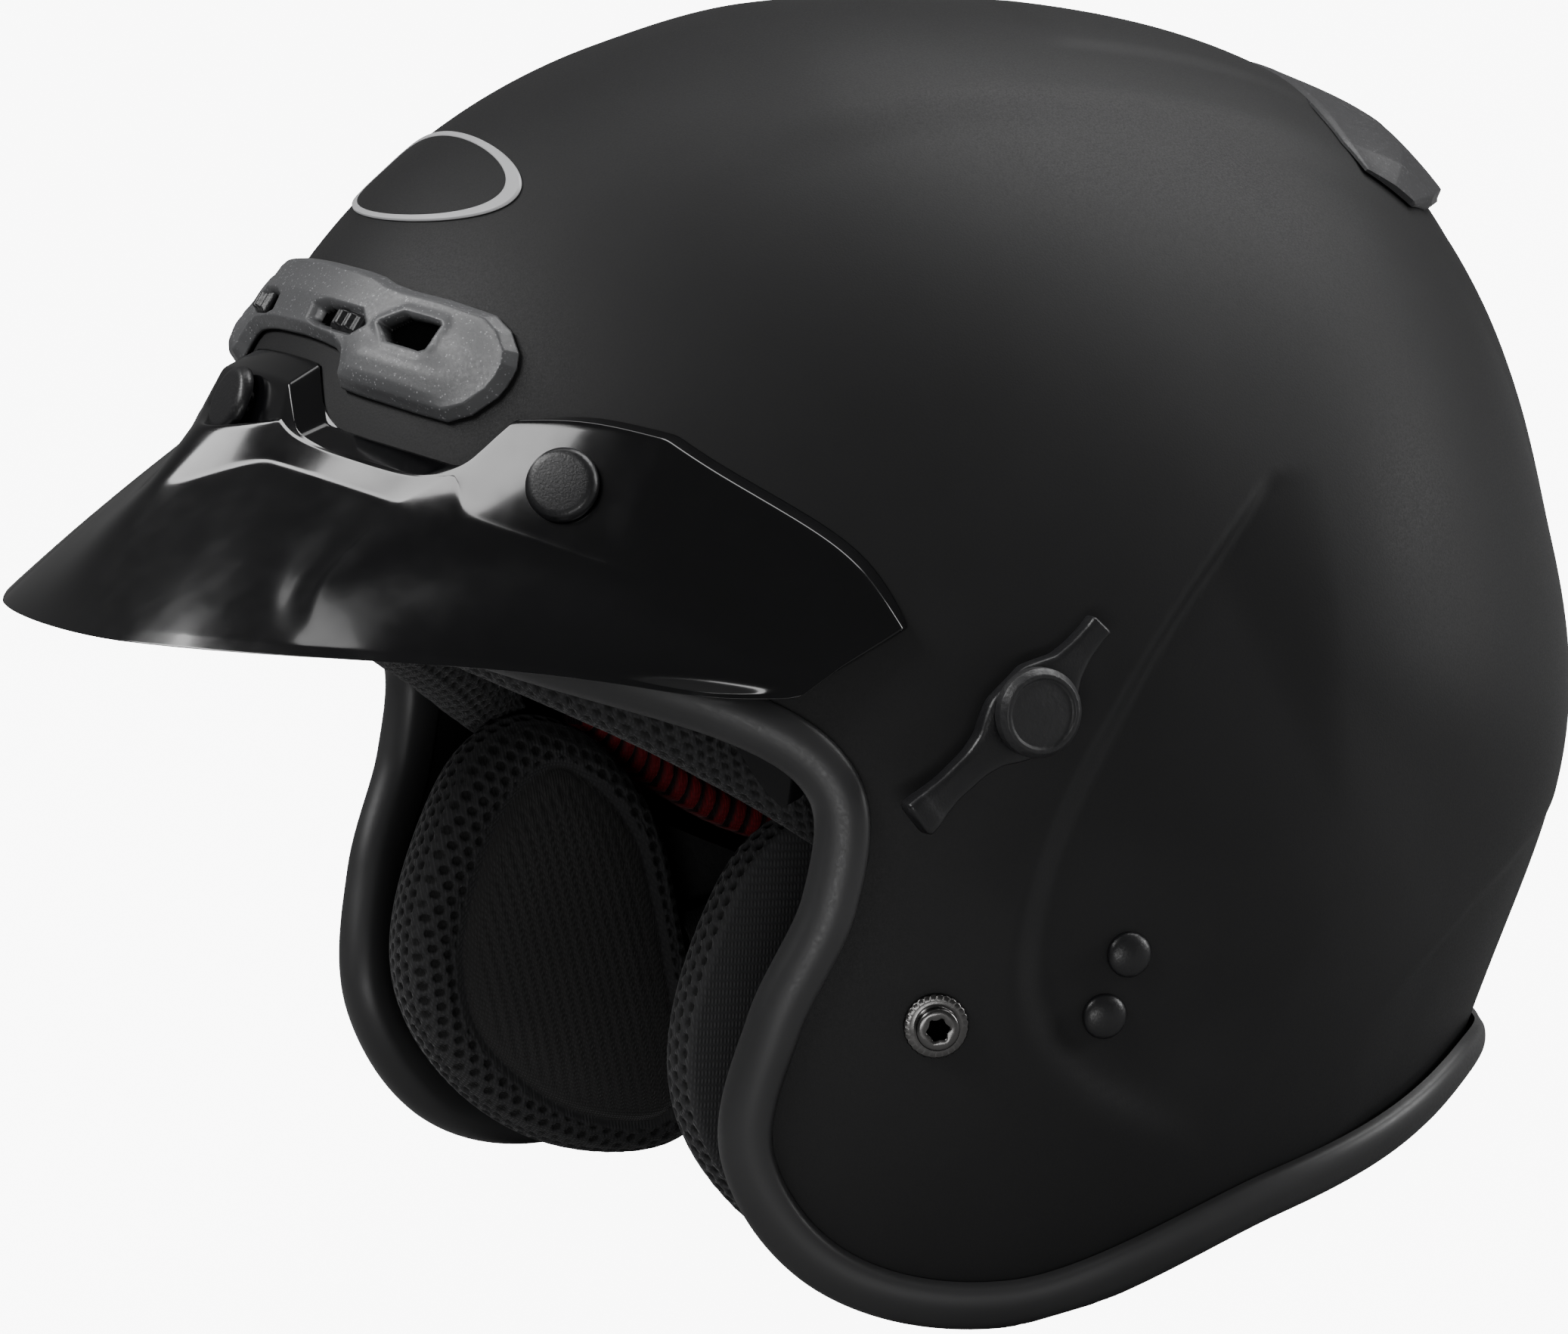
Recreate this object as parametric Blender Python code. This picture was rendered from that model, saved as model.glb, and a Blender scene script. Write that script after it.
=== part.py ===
"""Open-face motorcycle helmet with a detachable peak, brow vents and a drop-down sun lens.

Shell coordinates are millimetres: front is -Y, the wearer's left is +X, Z is up through the crown.
stand() leans the helmet back until it rests on both cheeks and the neck edge, and gives metres.
"""

import math

import bmesh
import bpy
import numpy as np
from mathutils import Matrix

# Outer shell: half width, side-view radius as harmonics about the shell centre, and section exponent
HALF_WIDTH = 123.2
PROFILE_MEAN = 146.76
PROFILE_HARMONICS = ((-31.78, -41.91), (-11.99, 4.07), (-3.99, 7.44), (5.76, 0.62), (1.2, -0.39))
# The brow is this much flatter than the harmonics, about an angle and over a width in degrees
BROW_FLAT = 2.8
BROW_ANGLE = 178.0
BROW_WIDTH = 34.0
CENTRE_Z = 146.7
SECTION_POWER = 2.04
WIDEN_REARWARD = 0.038
NARROW_UPWARD = 0.131
SHELL_WALL = 3.5
RIM_POINTS = 72
FOAM_POINTS = 40

# Edge trim bead: its reach outside and inside the shell, below the edge, and the slot's clearance
TRIM_OUT = 4.0
TRIM_IN = 6.4
TRIM_DROP = 5.9
TRIM_GRIP = 4.8
SLOT_GAP = 0.35
FLOOR_FLAT = 1.2

# Sun lens and its lever, turning about an axis along X through both temples
PIVOT_Y = -57.0
PIVOT_Z = 119.7
LENS_RADIUS = 108.0
LENS_HALF_WIDTH = 98.0
LENS_POWER = 2.08
LENS_WALL = 2.0
POCKET_GAP = 1.4
HUB_RADIUS = 12.5
LEVER_KNOB_RADIUS = 8.6
LEVER_FACE_X = 130.5
# The lens's lower and upper edge, in degrees about the pivot, by distance from it
LENS_REACH = (14, 25, 38, 42, 46, 60, 80, 112)
LENS_LOW = (215, 222, 231, 231, 211, 203, 198, 196)
LENS_HIGH = (165, 165, 163, 162, 161, 158, 153, 152)

# Foam and padding
STRAP_SPACE = 5.0
EPS_DEPTH = 33.0
LINER_THICKNESS = 6.0
PAD_INNER_X = 60.0
PAD_OUTER_X = 77.4
FOAM_GAP = 0.6
SHELL_GAP = 1.6
# Side-view outlines, as (y, z)
PAD_OUTLINE = ((-68, 86), (-77, 70), (-79, 51), (-76, 35), (-67, 23), (-52, 15), (-34, 12), (-17, 14), (-6, 20),
               (-6, 31), (-12, 40), (-19, 51), (-27, 64), (-33, 75), (-42, 82), (-54, 86))
FOAM_OUTLINE = ((-55, 82), (-63, 72), (-66, 54), (-65, 40), (-58, 30), (-46, 25), (-32, 27), (-17, 34), (-4, 43),
                (13, 54), (28, 62), (37, 69), (34, 76), (10, 78), (-20, 79), (-44, 81))

# Fittings
CAP_RADIUS = 7.2
STUD_RADIUS = 6.2
RIVET_RADIUS = 4.4
STRAP_WIDTH = 22.0
STRAP_THICKNESS = 1.6
RING_WIRE = 1.5
RIVETS = ((-19.0, 82.2), (-19.0, 69.4))
STUD_PLACE = (-49.6, 57.7)
STRAP_LEAN = math.radians(35.63)
STRAP_DOWN = np.array([0.0, math.sin(STRAP_LEAN), -math.cos(STRAP_LEAN)])
STRAP_ACROSS = np.array([0.0, math.cos(STRAP_LEAN), math.sin(STRAP_LEAN)])
STRAP_START = np.array([0.0, -19.0, 75.8])
RING_BARS = (60.8, 57.2)
RING_DROP = 32.0

# Peak
PEAK_WALL = 2.6
PEAK_HALF_WIDTH = 104.0
PEAK_REACH = 106.2
PEAK_POWER = 2.25
PEAK_BACK_Y = -97.0
PEAK_SIDE_Z = 102.6
PEAK_TIP_Z = 74.5
# Columns from the middle outwards: angle along the edge, then root and top as (place, z, stand-off).
# A positive place is x on the front of the shell, a negative one is y on its side.
PEAK_COLUMNS = (
    (0, (0.01, 120, 3.8), (0.01, 136.5, 4.6)),
    (9, (12, 120, 4.3), (9, 136.5, 4.9)),
    (15, (24, 120.5, 6.0), (17.6, 135.5, 6.0)),
    (18, (27.5, 119.5, 5.8), (26.6, 124, 5.8)),
    (29, (38, 119.5, 5.4), (38, 124.5, 5.4)),
    (42, (57, 120, 5.0), (56, 125.5, 5.0)),
    (47, (62, 121, 5.0), (65.6, 140.6, 4.6)),
    (54, (73, 120.5, 5.4), (72.5, 144.6, 4.6)),
    (62, (84.2, 119, 5.4), (82.4, 145.2, 4.4)),
    (69, (-119, 116.5, 5.6), (-118, 142, 4.2)),
    (77, (-107, 113, 6.0), (-99.5, 138.4, 4.0)),
    (84, (-98, 112.5, 6.4), (-89.5, 134.3, 4.0)),
)
SNAP_X = 74.3
SNAP_Z = 130.8
PEAK_END = ((-94, 107.5, 8.2), (-89, 115.5, 6.6), (-80.7, 126, 4.0))

# Brow vent cover, its columns as x, lower and upper z on the front of the shell
VENT_COLUMNS = ((0, 143.8, 159.8), (11, 143.8, 159.8), (19, 142.5, 159.6), (25.5, 136.4, 159.2), (39, 136.0, 158.6),
                (51, 135.9, 158.2), (58.2, 143.6, 152.2))
VENT_HEIGHT = 3.4
VENT_CLEARANCE = 0.7
SLIDER_X = 21.5
SLIDER_TRAVEL = 6.5
SLOT_HALF_HEIGHT = 2.7
HEX_X = 36.0

# Rear vent
# Columns as x, front and back angle about the shell centre in side view, and share of full height
REAR_VENT_COLUMNS = ((0, 89.4, 58, 1.0), (15, 89.2, 58, 1.0), (29, 88.9, 58.5, 1.0), (42, 88.2, 61, 0.95),
                     (51, 87.2, 66, 0.7), (57.5, 85.0, 73, 0.15))
REAR_VENT_HEIGHT = 7.5
REAR_VENT_CLEARANCE = 1.3

CENTRE = np.array([0.0, 0.0, CENTRE_Z])
APEX = np.array([0.0, 0.15, 1.0]) / math.hypot(1.0, 0.15)
AXIS_X = np.array([1.0, 0.0, 0.0])
AXIS_Y = np.array([0.0, 1.0, 0.0])
AXIS_Z = np.array([0.0, 0.0, 1.0])
MM = 0.001

PIECES = {}
CUTS = []
ORIGINS = {}


# ---------------------------------------------------------------- shell surface

def profile(theta):
    """Radius of the centre-line outline at angle theta, from +Y towards +Z."""
    radius = np.full(np.shape(theta), PROFILE_MEAN)
    for order, (cosine, sine) in enumerate(PROFILE_HARMONICS, 1):
        radius = radius + cosine * np.cos(order * theta) + sine * np.sin(order * theta)
    away = np.degrees(np.asarray(theta) % (2 * math.pi)) - BROW_ANGLE
    return radius - BROW_FLAT * np.exp(-(away / BROW_WIDTH) ** 2)


def level(points):
    """1 on the outer surface, less inside, more outside."""
    p = np.asarray(points, float)
    z = p[..., 2] - CENTRE_Z
    half = HALF_WIDTH * (1 + WIDEN_REARWARD * p[..., 1] / 140 - NARROW_UPWARD * z / 125)
    reach = np.hypot(p[..., 1], z) / profile(np.arctan2(z, p[..., 1]))
    return (np.abs(p[..., 0]) / half) ** SECTION_POWER + reach ** SECTION_POWER


def normal(points):
    """Outward unit normal of the level surface through each point."""
    p = np.asarray(points, float)
    slope = [level(p + step) - level(p - step) for step in 0.4 * np.eye(3)]
    n = np.stack(slope, -1)
    return n / np.linalg.norm(n, axis=-1, keepdims=True)


def cast(directions, origin=CENTRE):
    """Where rays from origin leave the shell's outer surface."""
    d = np.asarray(directions, float)
    d = d / np.linalg.norm(d, axis=-1, keepdims=True)
    low = np.zeros(d.shape[:-1])
    high = np.full(d.shape[:-1], 420.0)
    for _ in range(40):
        mid = (low + high) / 2
        inside = level(origin + d * mid[..., None]) < 1
        low = np.where(inside, mid, low)
        high = np.where(inside, high, mid)
    return origin + d * low[..., None]


def snap(points):
    """Points moved along rays from the centre onto the outer surface."""
    return cast(np.asarray(points, float) - CENTRE)


def inset(points, depth):
    """Surface points moved inwards along the normal."""
    return points - normal(points) * depth


def side_point(y, z, side=1):
    """Surface point at a given y and z, on the left (side 1) or the right (side -1)."""
    return cast(np.array([float(side), 0.0, 0.0]), np.array([0.0, y, z]))


def front_point(x, z):
    """Surface point on the front at a given x and z."""
    return cast(np.array([0.0, -1.0, 0.0]), np.array([x, 0.0, z]))


def top_point(x, y):
    """Surface point on the crown at a given x and y."""
    return cast(AXIS_Z, np.array([x, y, CENTRE_Z]))


# ---------------------------------------------------------------- curves

def catmull(points, per_span, closed):
    """Catmull-Rom curve through the points."""
    p = np.asarray(points, float)
    count = len(p)
    spans = count if closed else count - 1
    out = []
    for i in range(spans):
        if closed:
            a, b, c, d = (p[(i + k - 1) % count] for k in range(4))
        else:
            a = p[max(i - 1, 0)]
            b = p[i]
            c = p[i + 1]
            d = p[min(i + 2, count - 1)]
        for t in np.linspace(0, 1, per_span, endpoint=False):
            out.append(0.5 * (2 * b + (c - a) * t + (2 * a - 5 * b + 4 * c - d) * t * t
                              + (3 * b - a - 3 * c + d) * t ** 3))
    if not closed:
        out.append(p[-1])
    return np.array(out)


def resample(points, count, closed):
    """Evenly spaced points along a polyline."""
    p = np.asarray(points, float)
    if closed:
        p = np.vstack([p, p[:1]])
    run = np.concatenate([[0], np.cumsum(np.linalg.norm(np.diff(p, axis=0), axis=1))])
    at = np.linspace(0, run[-1], count, endpoint=not closed)
    return np.stack([np.interp(at, run, p[:, k]) for k in range(p.shape[1])], -1)


def smoothstep(low, high, value):
    t = np.clip((value - low) / (high - low), 0, 1)
    return t * t * (3 - 2 * t)


def mirrored_loop(half):
    """A closed loop from a half on the left that starts and ends on the centre line."""
    half = np.asarray(half, float)
    return np.vstack([half, (half[1:-1] * [-1, 1, 1])[::-1]])


def rim_half():
    """Control points of the shell's edge on the left: brow, face opening, cheek and neck."""
    brow = [front_point(x, z) for x, z in ((0, 98.6), (25, 98.7), (50, 98.9), (72, 99.4))]
    side = ((-103.4, 101.1), (-82.4, 94.1), (-75.4, 72.9), (-75.5, 47.7), (-69.0, 22.4), (-45.5, 7.1),
            (-11.9, 12.4), (29.8, 48.3), (71.6, 82.0))
    cheek = [side_point(y, z) for y, z in side]
    neck = [cast(AXIS_Y, np.array([x, 0.0, z])) for x, z in ((58, 90.5), (29, 93.0), (0, 93.6))]
    return np.array(brow + cheek + neck)


def edge_rings(half, count, depths):
    """Rings on the outer surface: the edge itself, then one at each distance in from it."""
    loop = snap(resample(catmull(mirrored_loop(half), 16, True), count, True))
    along = np.roll(loop, -1, 0) - np.roll(loop, 1, 0)
    inward = np.cross(normal(loop), along)
    inward /= np.linalg.norm(inward, axis=1, keepdims=True)
    if np.sum(inward * (CENTRE + 90 * AXIS_Z - loop)) < 0:
        inward = -inward
    return [loop] + [snap(loop + inward * depth) for depth in depths], inward


def crown_rings(start, rows):
    """Rings from a start ring up to just short of the crown, then the crown point."""
    first = (start - CENTRE) / np.linalg.norm(start - CENTRE, axis=1, keepdims=True)
    angle = np.arccos(np.clip(first @ APEX, -1, 1))[:, None]
    rings = []
    for k in range(1, rows):
        t = k / rows
        rings.append(cast((np.sin((1 - t) * angle) * first + np.sin(t * angle) * APEX) / np.sin(angle)))
    return rings + [cast(APEX)]


# ---------------------------------------------------------------- building

COLOURS = {
    "shell": (0.020, 0.020, 0.021, 0.42, 0.0),
    "gloss": (0.006, 0.006, 0.007, 0.10, 0.0),
    "rubber": (0.045, 0.045, 0.047, 0.60, 0.0),
    "vent": (0.130, 0.130, 0.135, 0.45, 0.2),
    "plastic": (0.015, 0.015, 0.016, 0.40, 0.0),
    "chrome": (0.300, 0.300, 0.310, 0.22, 1.0),
    "steel": (0.450, 0.450, 0.460, 0.30, 1.0),
    "foam": (0.030, 0.030, 0.032, 0.90, 0.0),
    "mesh": (0.028, 0.028, 0.029, 0.90, 0.0),
    "suede": (0.022, 0.022, 0.023, 0.95, 0.0),
    "red": (0.210, 0.010, 0.014, 0.80, 0.0),
    "lens": (0.030, 0.030, 0.032, 0.08, 0.0),
    "web": (0.016, 0.016, 0.017, 0.90, 0.0),
    "badge": (0.550, 0.550, 0.560, 0.30, 0.6),
}


def surface_of(kind):
    """Principled material for a kind of surface."""
    found = bpy.data.materials.get(kind)
    if found:
        return found
    made = bpy.data.materials.new(kind)
    made.use_nodes = True
    shader = made.node_tree.nodes["Principled BSDF"]
    red, green, blue, rough, metal = COLOURS[kind]
    shader.inputs["Base Color"].default_value = (red, green, blue, 1)
    shader.inputs["Roughness"].default_value = rough
    shader.inputs["Metallic"].default_value = metal
    made.diffuse_color = (red, green, blue, 1)
    return made


def add(name, points, faces, kind, smooth=True):
    """Keeps one closed piece, in shell millimetres, to be stood up once all pieces are known."""
    PIECES[name] = (np.asarray(points, float), faces, kind, smooth)


def stack(rings):
    """Closed body from rings of equal length. The first and last may be single points."""
    points = []
    faces = []
    starts = []
    for ring in rings:
        ring = np.atleast_2d(ring)
        starts.append((len(points), len(ring)))
        points.extend(ring)
    for (a, na), (b, nb) in zip(starts, starts[1:]):
        count = max(na, nb)
        for i in range(count):
            j = (i + 1) % count
            quad = [a + i % na, a + j % na, b + j % nb, b + i % nb]
            faces.append([v for k, v in enumerate(quad) if v not in quad[:k]])
    for start, count in (starts[0], starts[-1]):
        if count > 1:
            faces.append(list(range(start, start + count)))
    return np.array(points), faces


def loop_body(sections):
    """Closed tube through sections that return to the first."""
    rows, count = len(sections), len(sections[0])
    points = np.vstack(sections)
    faces = []
    for i in range(rows):
        k = (i + 1) % rows
        for j in range(count):
            m = (j + 1) % count
            faces.append([i * count + j, i * count + m, k * count + m, k * count + j])
    return points, faces


def sheet(outer, inner):
    """Closed slab between two grids of the same size."""
    outer = np.asarray(outer, float)
    inner = np.asarray(inner, float)
    rows, cols = outer.shape[:2]
    points = np.vstack([outer.reshape(-1, 3), inner.reshape(-1, 3)])
    half = rows * cols
    faces = []
    for i in range(rows - 1):
        for j in range(cols - 1):
            a = i * cols + j
            faces.append([a, a + 1, a + cols + 1, a + cols])
            faces.append([half + a, half + a + cols, half + a + cols + 1, half + a + 1])
    edge = [(0, j) for j in range(cols)] + [(i, cols - 1) for i in range(1, rows)]
    edge += [(rows - 1, j) for j in range(cols - 2, -1, -1)] + [(i, 0) for i in range(rows - 2, 0, -1)]
    for (i, j), (k, m) in zip(edge, edge[1:] + edge[:1]):
        a = i * cols + j
        b = k * cols + m
        faces.append([a, b, half + b, half + a])
    return points, faces


def basis(out, towards=-AXIS_Z):
    """Unit out, a tangent close to the wanted direction, and the third axis."""
    out = np.asarray(out, float) / np.linalg.norm(out)
    down = towards - out * (towards @ out)
    down /= np.linalg.norm(down)
    return out, down, np.cross(out, down)


def lathe(outline, at, out, count):
    """Body turned about out through at. Outline gives (radius, height) from one end to the other."""
    out, down, across = basis(out, -AXIS_Z if abs(out[2]) < 0.9 else AXIS_Y)
    turn = np.linspace(0, 2 * math.pi, count, endpoint=False)[:, None]
    spokes = np.cos(turn) * down + np.sin(turn) * across
    return stack([at + out * h + (spokes * r if r > 0 else 0) for r, h in outline])


def prism(outline, at, out, low, high, towards=-AXIS_Z, chamfer=0.0):
    """Straight-sided body from an outline of (across, down) pairs, between two heights."""
    out, down, across = basis(out, towards)
    flat = np.array([across * u + down * v for u, v in outline])
    rings = [at + out * low + flat]
    if chamfer:
        middle = flat.mean(0)
        size = np.linalg.norm(flat - middle, axis=1).max()
        rings.append(at + out * (high - chamfer) + flat)
        rings.append(at + out * high + middle + (flat - middle) * (1 - chamfer / size))
    else:
        rings.append(at + out * high + flat)
    return stack(rings)


def tube(path, radius, count, closed=False, up=AXIS_X):
    """Round bar along a path."""
    path = np.asarray(path, float)
    if closed:
        along = np.roll(path, -1, 0) - np.roll(path, 1, 0)
    else:
        along = np.gradient(path, axis=0)
    along /= np.linalg.norm(along, axis=1, keepdims=True)
    turn = np.linspace(0, 2 * math.pi, count, endpoint=False)[:, None]
    sections = []
    for p, t in zip(path, along):
        a = up - t * (up @ t)
        a /= np.linalg.norm(a)
        sections.append(p + (np.cos(turn) * a + np.sin(turn) * np.cross(t, a)) * radius)
    return loop_body(sections) if closed else stack(sections)


def ribbon(path, across, width, thickness):
    """Flat strap along a path. across gives the direction over the strap's width at each point."""
    path = np.asarray(path, float)
    along = np.gradient(path, axis=0)
    along /= np.linalg.norm(along, axis=1, keepdims=True)
    rings = []
    for p, t, w in zip(path, along, across):
        face = np.cross(t, w)
        f = face / np.linalg.norm(face) * thickness / 2
        w = w * width / 2
        rings.append(np.array([p - w - f, p + w - f, p + w + f, p - w + f]))
    return stack(rings)


# ---------------------------------------------------------------- shell and trim

def build_shell():
    rings, inward = edge_rings(rim_half(), RIM_POINTS, (8.0, 18.0))
    rings += crown_rings(rings[-1], 9)
    outer = rings[::-1]
    inner = [inset(ring, SHELL_WALL) for ring in rings]
    add("outer_shell", *stack(outer + inner), "shell")
    edge = rings[0]
    out = normal(edge)
    gap = SLOT_GAP
    section = ((gap, -TRIM_GRIP), (0.72 * TRIM_OUT, -0.8 * TRIM_GRIP), (TRIM_OUT, 0.0),
               (0.7 * TRIM_OUT, 0.65 * TRIM_DROP), (-0.6, TRIM_DROP), (-0.68 * TRIM_IN, 0.8 * TRIM_DROP),
               (-TRIM_IN, 0.25 * TRIM_DROP), (-0.94 * TRIM_IN, -0.6 * TRIM_GRIP),
               (-SHELL_WALL - gap, -0.95 * TRIM_GRIP), (-SHELL_WALL - gap, gap), (gap, gap))
    sections = np.stack([edge + out * o - inward * d for o, d in section], 1)
    add("edge_trim", *loop_body(list(sections)), "rubber")
    return edge


# ---------------------------------------------------------------- foam, liner and pads

def pocket_level(p, slack):
    """1 on the surface that the turning lens must stay outside of."""
    reach = np.hypot(p[..., 1] - PIVOT_Y, p[..., 2] - PIVOT_Z)
    wide = LENS_HALF_WIDTH - LENS_WALL - slack
    tall = LENS_RADIUS - LENS_WALL - slack
    return (np.abs(p[..., 0]) / wide) ** LENS_POWER + (reach / tall) ** LENS_POWER


def pocketed(points, slack=POCKET_GAP):
    """Foam surface points drawn in behind the lens wherever it sweeps or hides."""
    origin = np.array([0.0, -20.0, 125.0])
    low = np.zeros(points.shape[:-1])
    high = np.ones(points.shape[:-1])
    for _ in range(30):
        mid = (low + high) / 2
        clear = pocket_level(origin + (points - origin) * mid[..., None], slack) < 1
        low = np.where(clear, mid, low)
        high = np.where(clear, high, mid)
    drawn = origin + (points - origin) * low[..., None]
    dy = points[..., 1] - PIVOT_Y
    dz = points[..., 2] - PIVOT_Z
    angle = np.degrees(np.arctan2(dz, dy)) % 360
    reach = np.hypot(dy, dz)
    sweep = smoothstep(100, 124, angle) * smoothstep(300, 288, angle)
    hub = smoothstep(62, 46, reach)
    weight = np.maximum(sweep, hub)[..., None]
    return points * (1 - weight) + drawn * weight


def build_crown_foam():
    half = [front_point(x, 109.0) for x in (0, 30, 58)]
    side = ((-122, 109), (-96, 106), (-70, 98), (-45, 91), (-15, 90.5), (15, 89), (45, 91), (72, 98))
    half += [side_point(y, z) for y, z in side]
    half += [cast(AXIS_Y, np.array([x, 0.0, z])) for x, z in ((50, 103), (0, 105))]
    rings, _ = edge_rings(np.array(half), FOAM_POINTS, (13.0,))
    rings += crown_rings(rings[-1], 6)
    outer = [pocketed(inset(ring, SHELL_WALL + SHELL_GAP)) for ring in rings]
    inner = [inset(ring, EPS_DEPTH) for ring in rings]
    add("eps_crown", *stack(outer[::-1] + inner), "foam")
    outer = [inset(ring, EPS_DEPTH + FOAM_GAP) for ring in rings[1:]]
    inner = [inset(ring, EPS_DEPTH + FOAM_GAP + LINER_THICKNESS) for ring in rings[1:]]
    add("crown_liner", *stack(outer[::-1] + inner), "suede")


def side_body(outline, outside, inside, rounding, side):
    """Body between two depths over a side-view outline, its edges rounded over the given width."""
    flat = resample(catmull(np.array(outline, float), 8, True), 28, True)
    size = np.linalg.norm(flat - flat.mean(0), axis=1).mean()
    rings = []
    for depth, shrink in ((0.0, 0.0), (0.0, 0.5), (0.0, 1.0 - rounding / size), (0.25, 1.0), (0.75, 1.0),
                          (1.0, 1.0 - rounding / size), (1.0, 0.5), (1.0, 0.0)):
        ring = flat.mean(0) + (flat - flat.mean(0)) * shrink
        x_out = outside(ring)
        x_in = inside(ring)
        x = x_out + (x_in - x_out) * depth
        ring = np.column_stack([x, ring])
        rings.append(ring if shrink else ring[:1])
    rings[0] = rings[0][0]
    rings[-1] = rings[-1][0]
    return stack([ring * np.array([side, 1, 1]) for ring in rings])


def shell_x(flat, depth):
    """Lateral position of the surface a given depth inside the shell, for side-view points."""
    start = np.column_stack([np.zeros(len(flat)), flat])
    found = np.array([cast(AXIS_X, p) for p in start])
    across = np.abs(normal(found)[:, 0])
    return found[:, 0] - depth / across


def build_cheeks():
    def foam_out(flat):
        shell = shell_x(flat, SHELL_WALL + STRAP_SPACE)
        points = np.column_stack([shell, flat])
        return pocketed(points)[:, 0].clip(None, shell)

    def pad_out(flat):
        return np.full(len(flat), PAD_OUTER_X)

    def foam_in(flat):
        return pad_out(flat) + FOAM_GAP

    def pad_in(flat):
        middle = np.array([-30.0, 50.0])
        away = np.linalg.norm((flat - middle) / (52.0, 40.0), axis=1)
        return PAD_INNER_X - 2.0 + 4.0 * away ** 2

    for side, word in ((1, "left"), (-1, "right")):
        add("eps_cheek_" + word, *side_body(FOAM_OUTLINE, foam_out, foam_in, 3.0, side), "foam")
        add("cheek_pad_" + word, *side_body(PAD_OUTLINE, pad_out, pad_in, 7.0, side), "mesh")


def padded_roll(name, path, depths, heights, kind, taper):
    """Soft roll along a path, elliptical in section, thinning towards its ends."""
    path = resample(catmull(np.array(path, float), 10, False), 15, False)
    outward = normal(path)
    turn = np.linspace(0, 2 * math.pi, 10, endpoint=False)
    ends = np.abs(np.linspace(-1, 1, len(path)))
    swell = np.sqrt(np.clip(1 - (ends * taper) ** 6, 0, 1))
    rings = []
    for p, n, t, scale in zip(path, outward, np.gradient(path, axis=0), swell):
        t = t / np.linalg.norm(t)
        up = np.cross(t, n)
        up = up / np.linalg.norm(up)
        n = np.cross(up, t)
        rings.append(np.array([p + (n * depths * math.cos(a) + up * heights * math.sin(a)) * scale for a in turn]))
    add(name, *stack(rings), kind)


def mirrored_path(half):
    half = np.asarray(half, float)
    return np.vstack([(half[1:] * [-1, 1, 1])[::-1], half])


def build_rolls():
    on_front = [front_point(x, 98.0) for x in (0, 28, 54)] + [side_point(y, z) for y, z in ((-124, 98), (-104, 96))]
    brow = [inset(p, 30.5) for p in on_front] + [inset(side_point(-88, 93), 27.0)]
    padded_roll("brow_pad", mirrored_path(brow), 12.5, 6.5, "mesh", 0.9)
    neck = ((0, 82, 89), (24, 79, 88), (46, 70, 83), (60, 54, 75), (67, 36, 68))
    padded_roll("neck_roll", mirrored_path(neck), 7.5, 8.5, "suede", 0.95)


def build_band():
    """Red ribbed strip along the lower edge of the crown liner, from temple round the back to temple."""
    side = ((-62, 99), (-40, 95), (-12, 92), (16, 93), (44, 97), (66, 104))
    half = [inset(side_point(y, z), EPS_DEPTH + 3.6) for y, z in side]
    half += [inset(cast(AXIS_Y, np.array([x, 0.0, z])), EPS_DEPTH + 3.6) for x, z in ((42, 109), (0, 111))]
    half = np.array(half)
    path = resample(catmull(np.vstack([half, (half[:-1] * [-1, 1, 1])[::-1]]), 8, False), 31, False)
    out = normal(path)
    rings = []
    for p, n in zip(path, out):
        up = AXIS_Z - n * n[2]
        up = up / np.linalg.norm(up)
        rings.append(np.array([p + n * a + up * b for a, b in ((-1.6, -3.0), (1.6, -3.0), (1.6, 3.0), (-1.6, 3.0))]))
    add("liner_band", *stack(rings), "red")


# ---------------------------------------------------------------- peak

def stood_off(place, z, gap):
    foot = front_point(place, z) if place > 0 else side_point(place, z)
    return foot + normal(foot) * gap


def peak_edge(degrees):
    turn = math.radians(degrees)
    x = PEAK_HALF_WIDTH * math.sin(turn) ** (2 / PEAK_POWER)
    y = PEAK_BACK_Y - PEAK_REACH * math.cos(turn) ** (2 / PEAK_POWER)
    return np.array([x, y, PEAK_SIDE_Z + (PEAK_TIP_Z - PEAK_SIDE_Z) * math.cos(turn) ** 1.5])


def build_peak():
    columns = []
    for degrees, root, top in PEAK_COLUMNS:
        edge = peak_edge(degrees)
        base = stood_off(*root)
        columns.append([edge, edge * 0.64 + base * 0.36, edge * 0.3 + base * 0.7, base, stood_off(*top)])
    low, middle, high = (stood_off(*place) for place in PEAK_END)
    columns.append([low, low * 0.67 + middle * 0.33, low * 0.33 + middle * 0.67, middle, high])
    half = np.array(columns).transpose(1, 0, 2)
    outer = np.concatenate([(half[:, 1:] * [-1, 1, 1])[:, ::-1], half], 1)
    add("peak", *sheet(outer, outer - normal(outer) * PEAK_WALL), "gloss", smooth=False)


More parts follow.
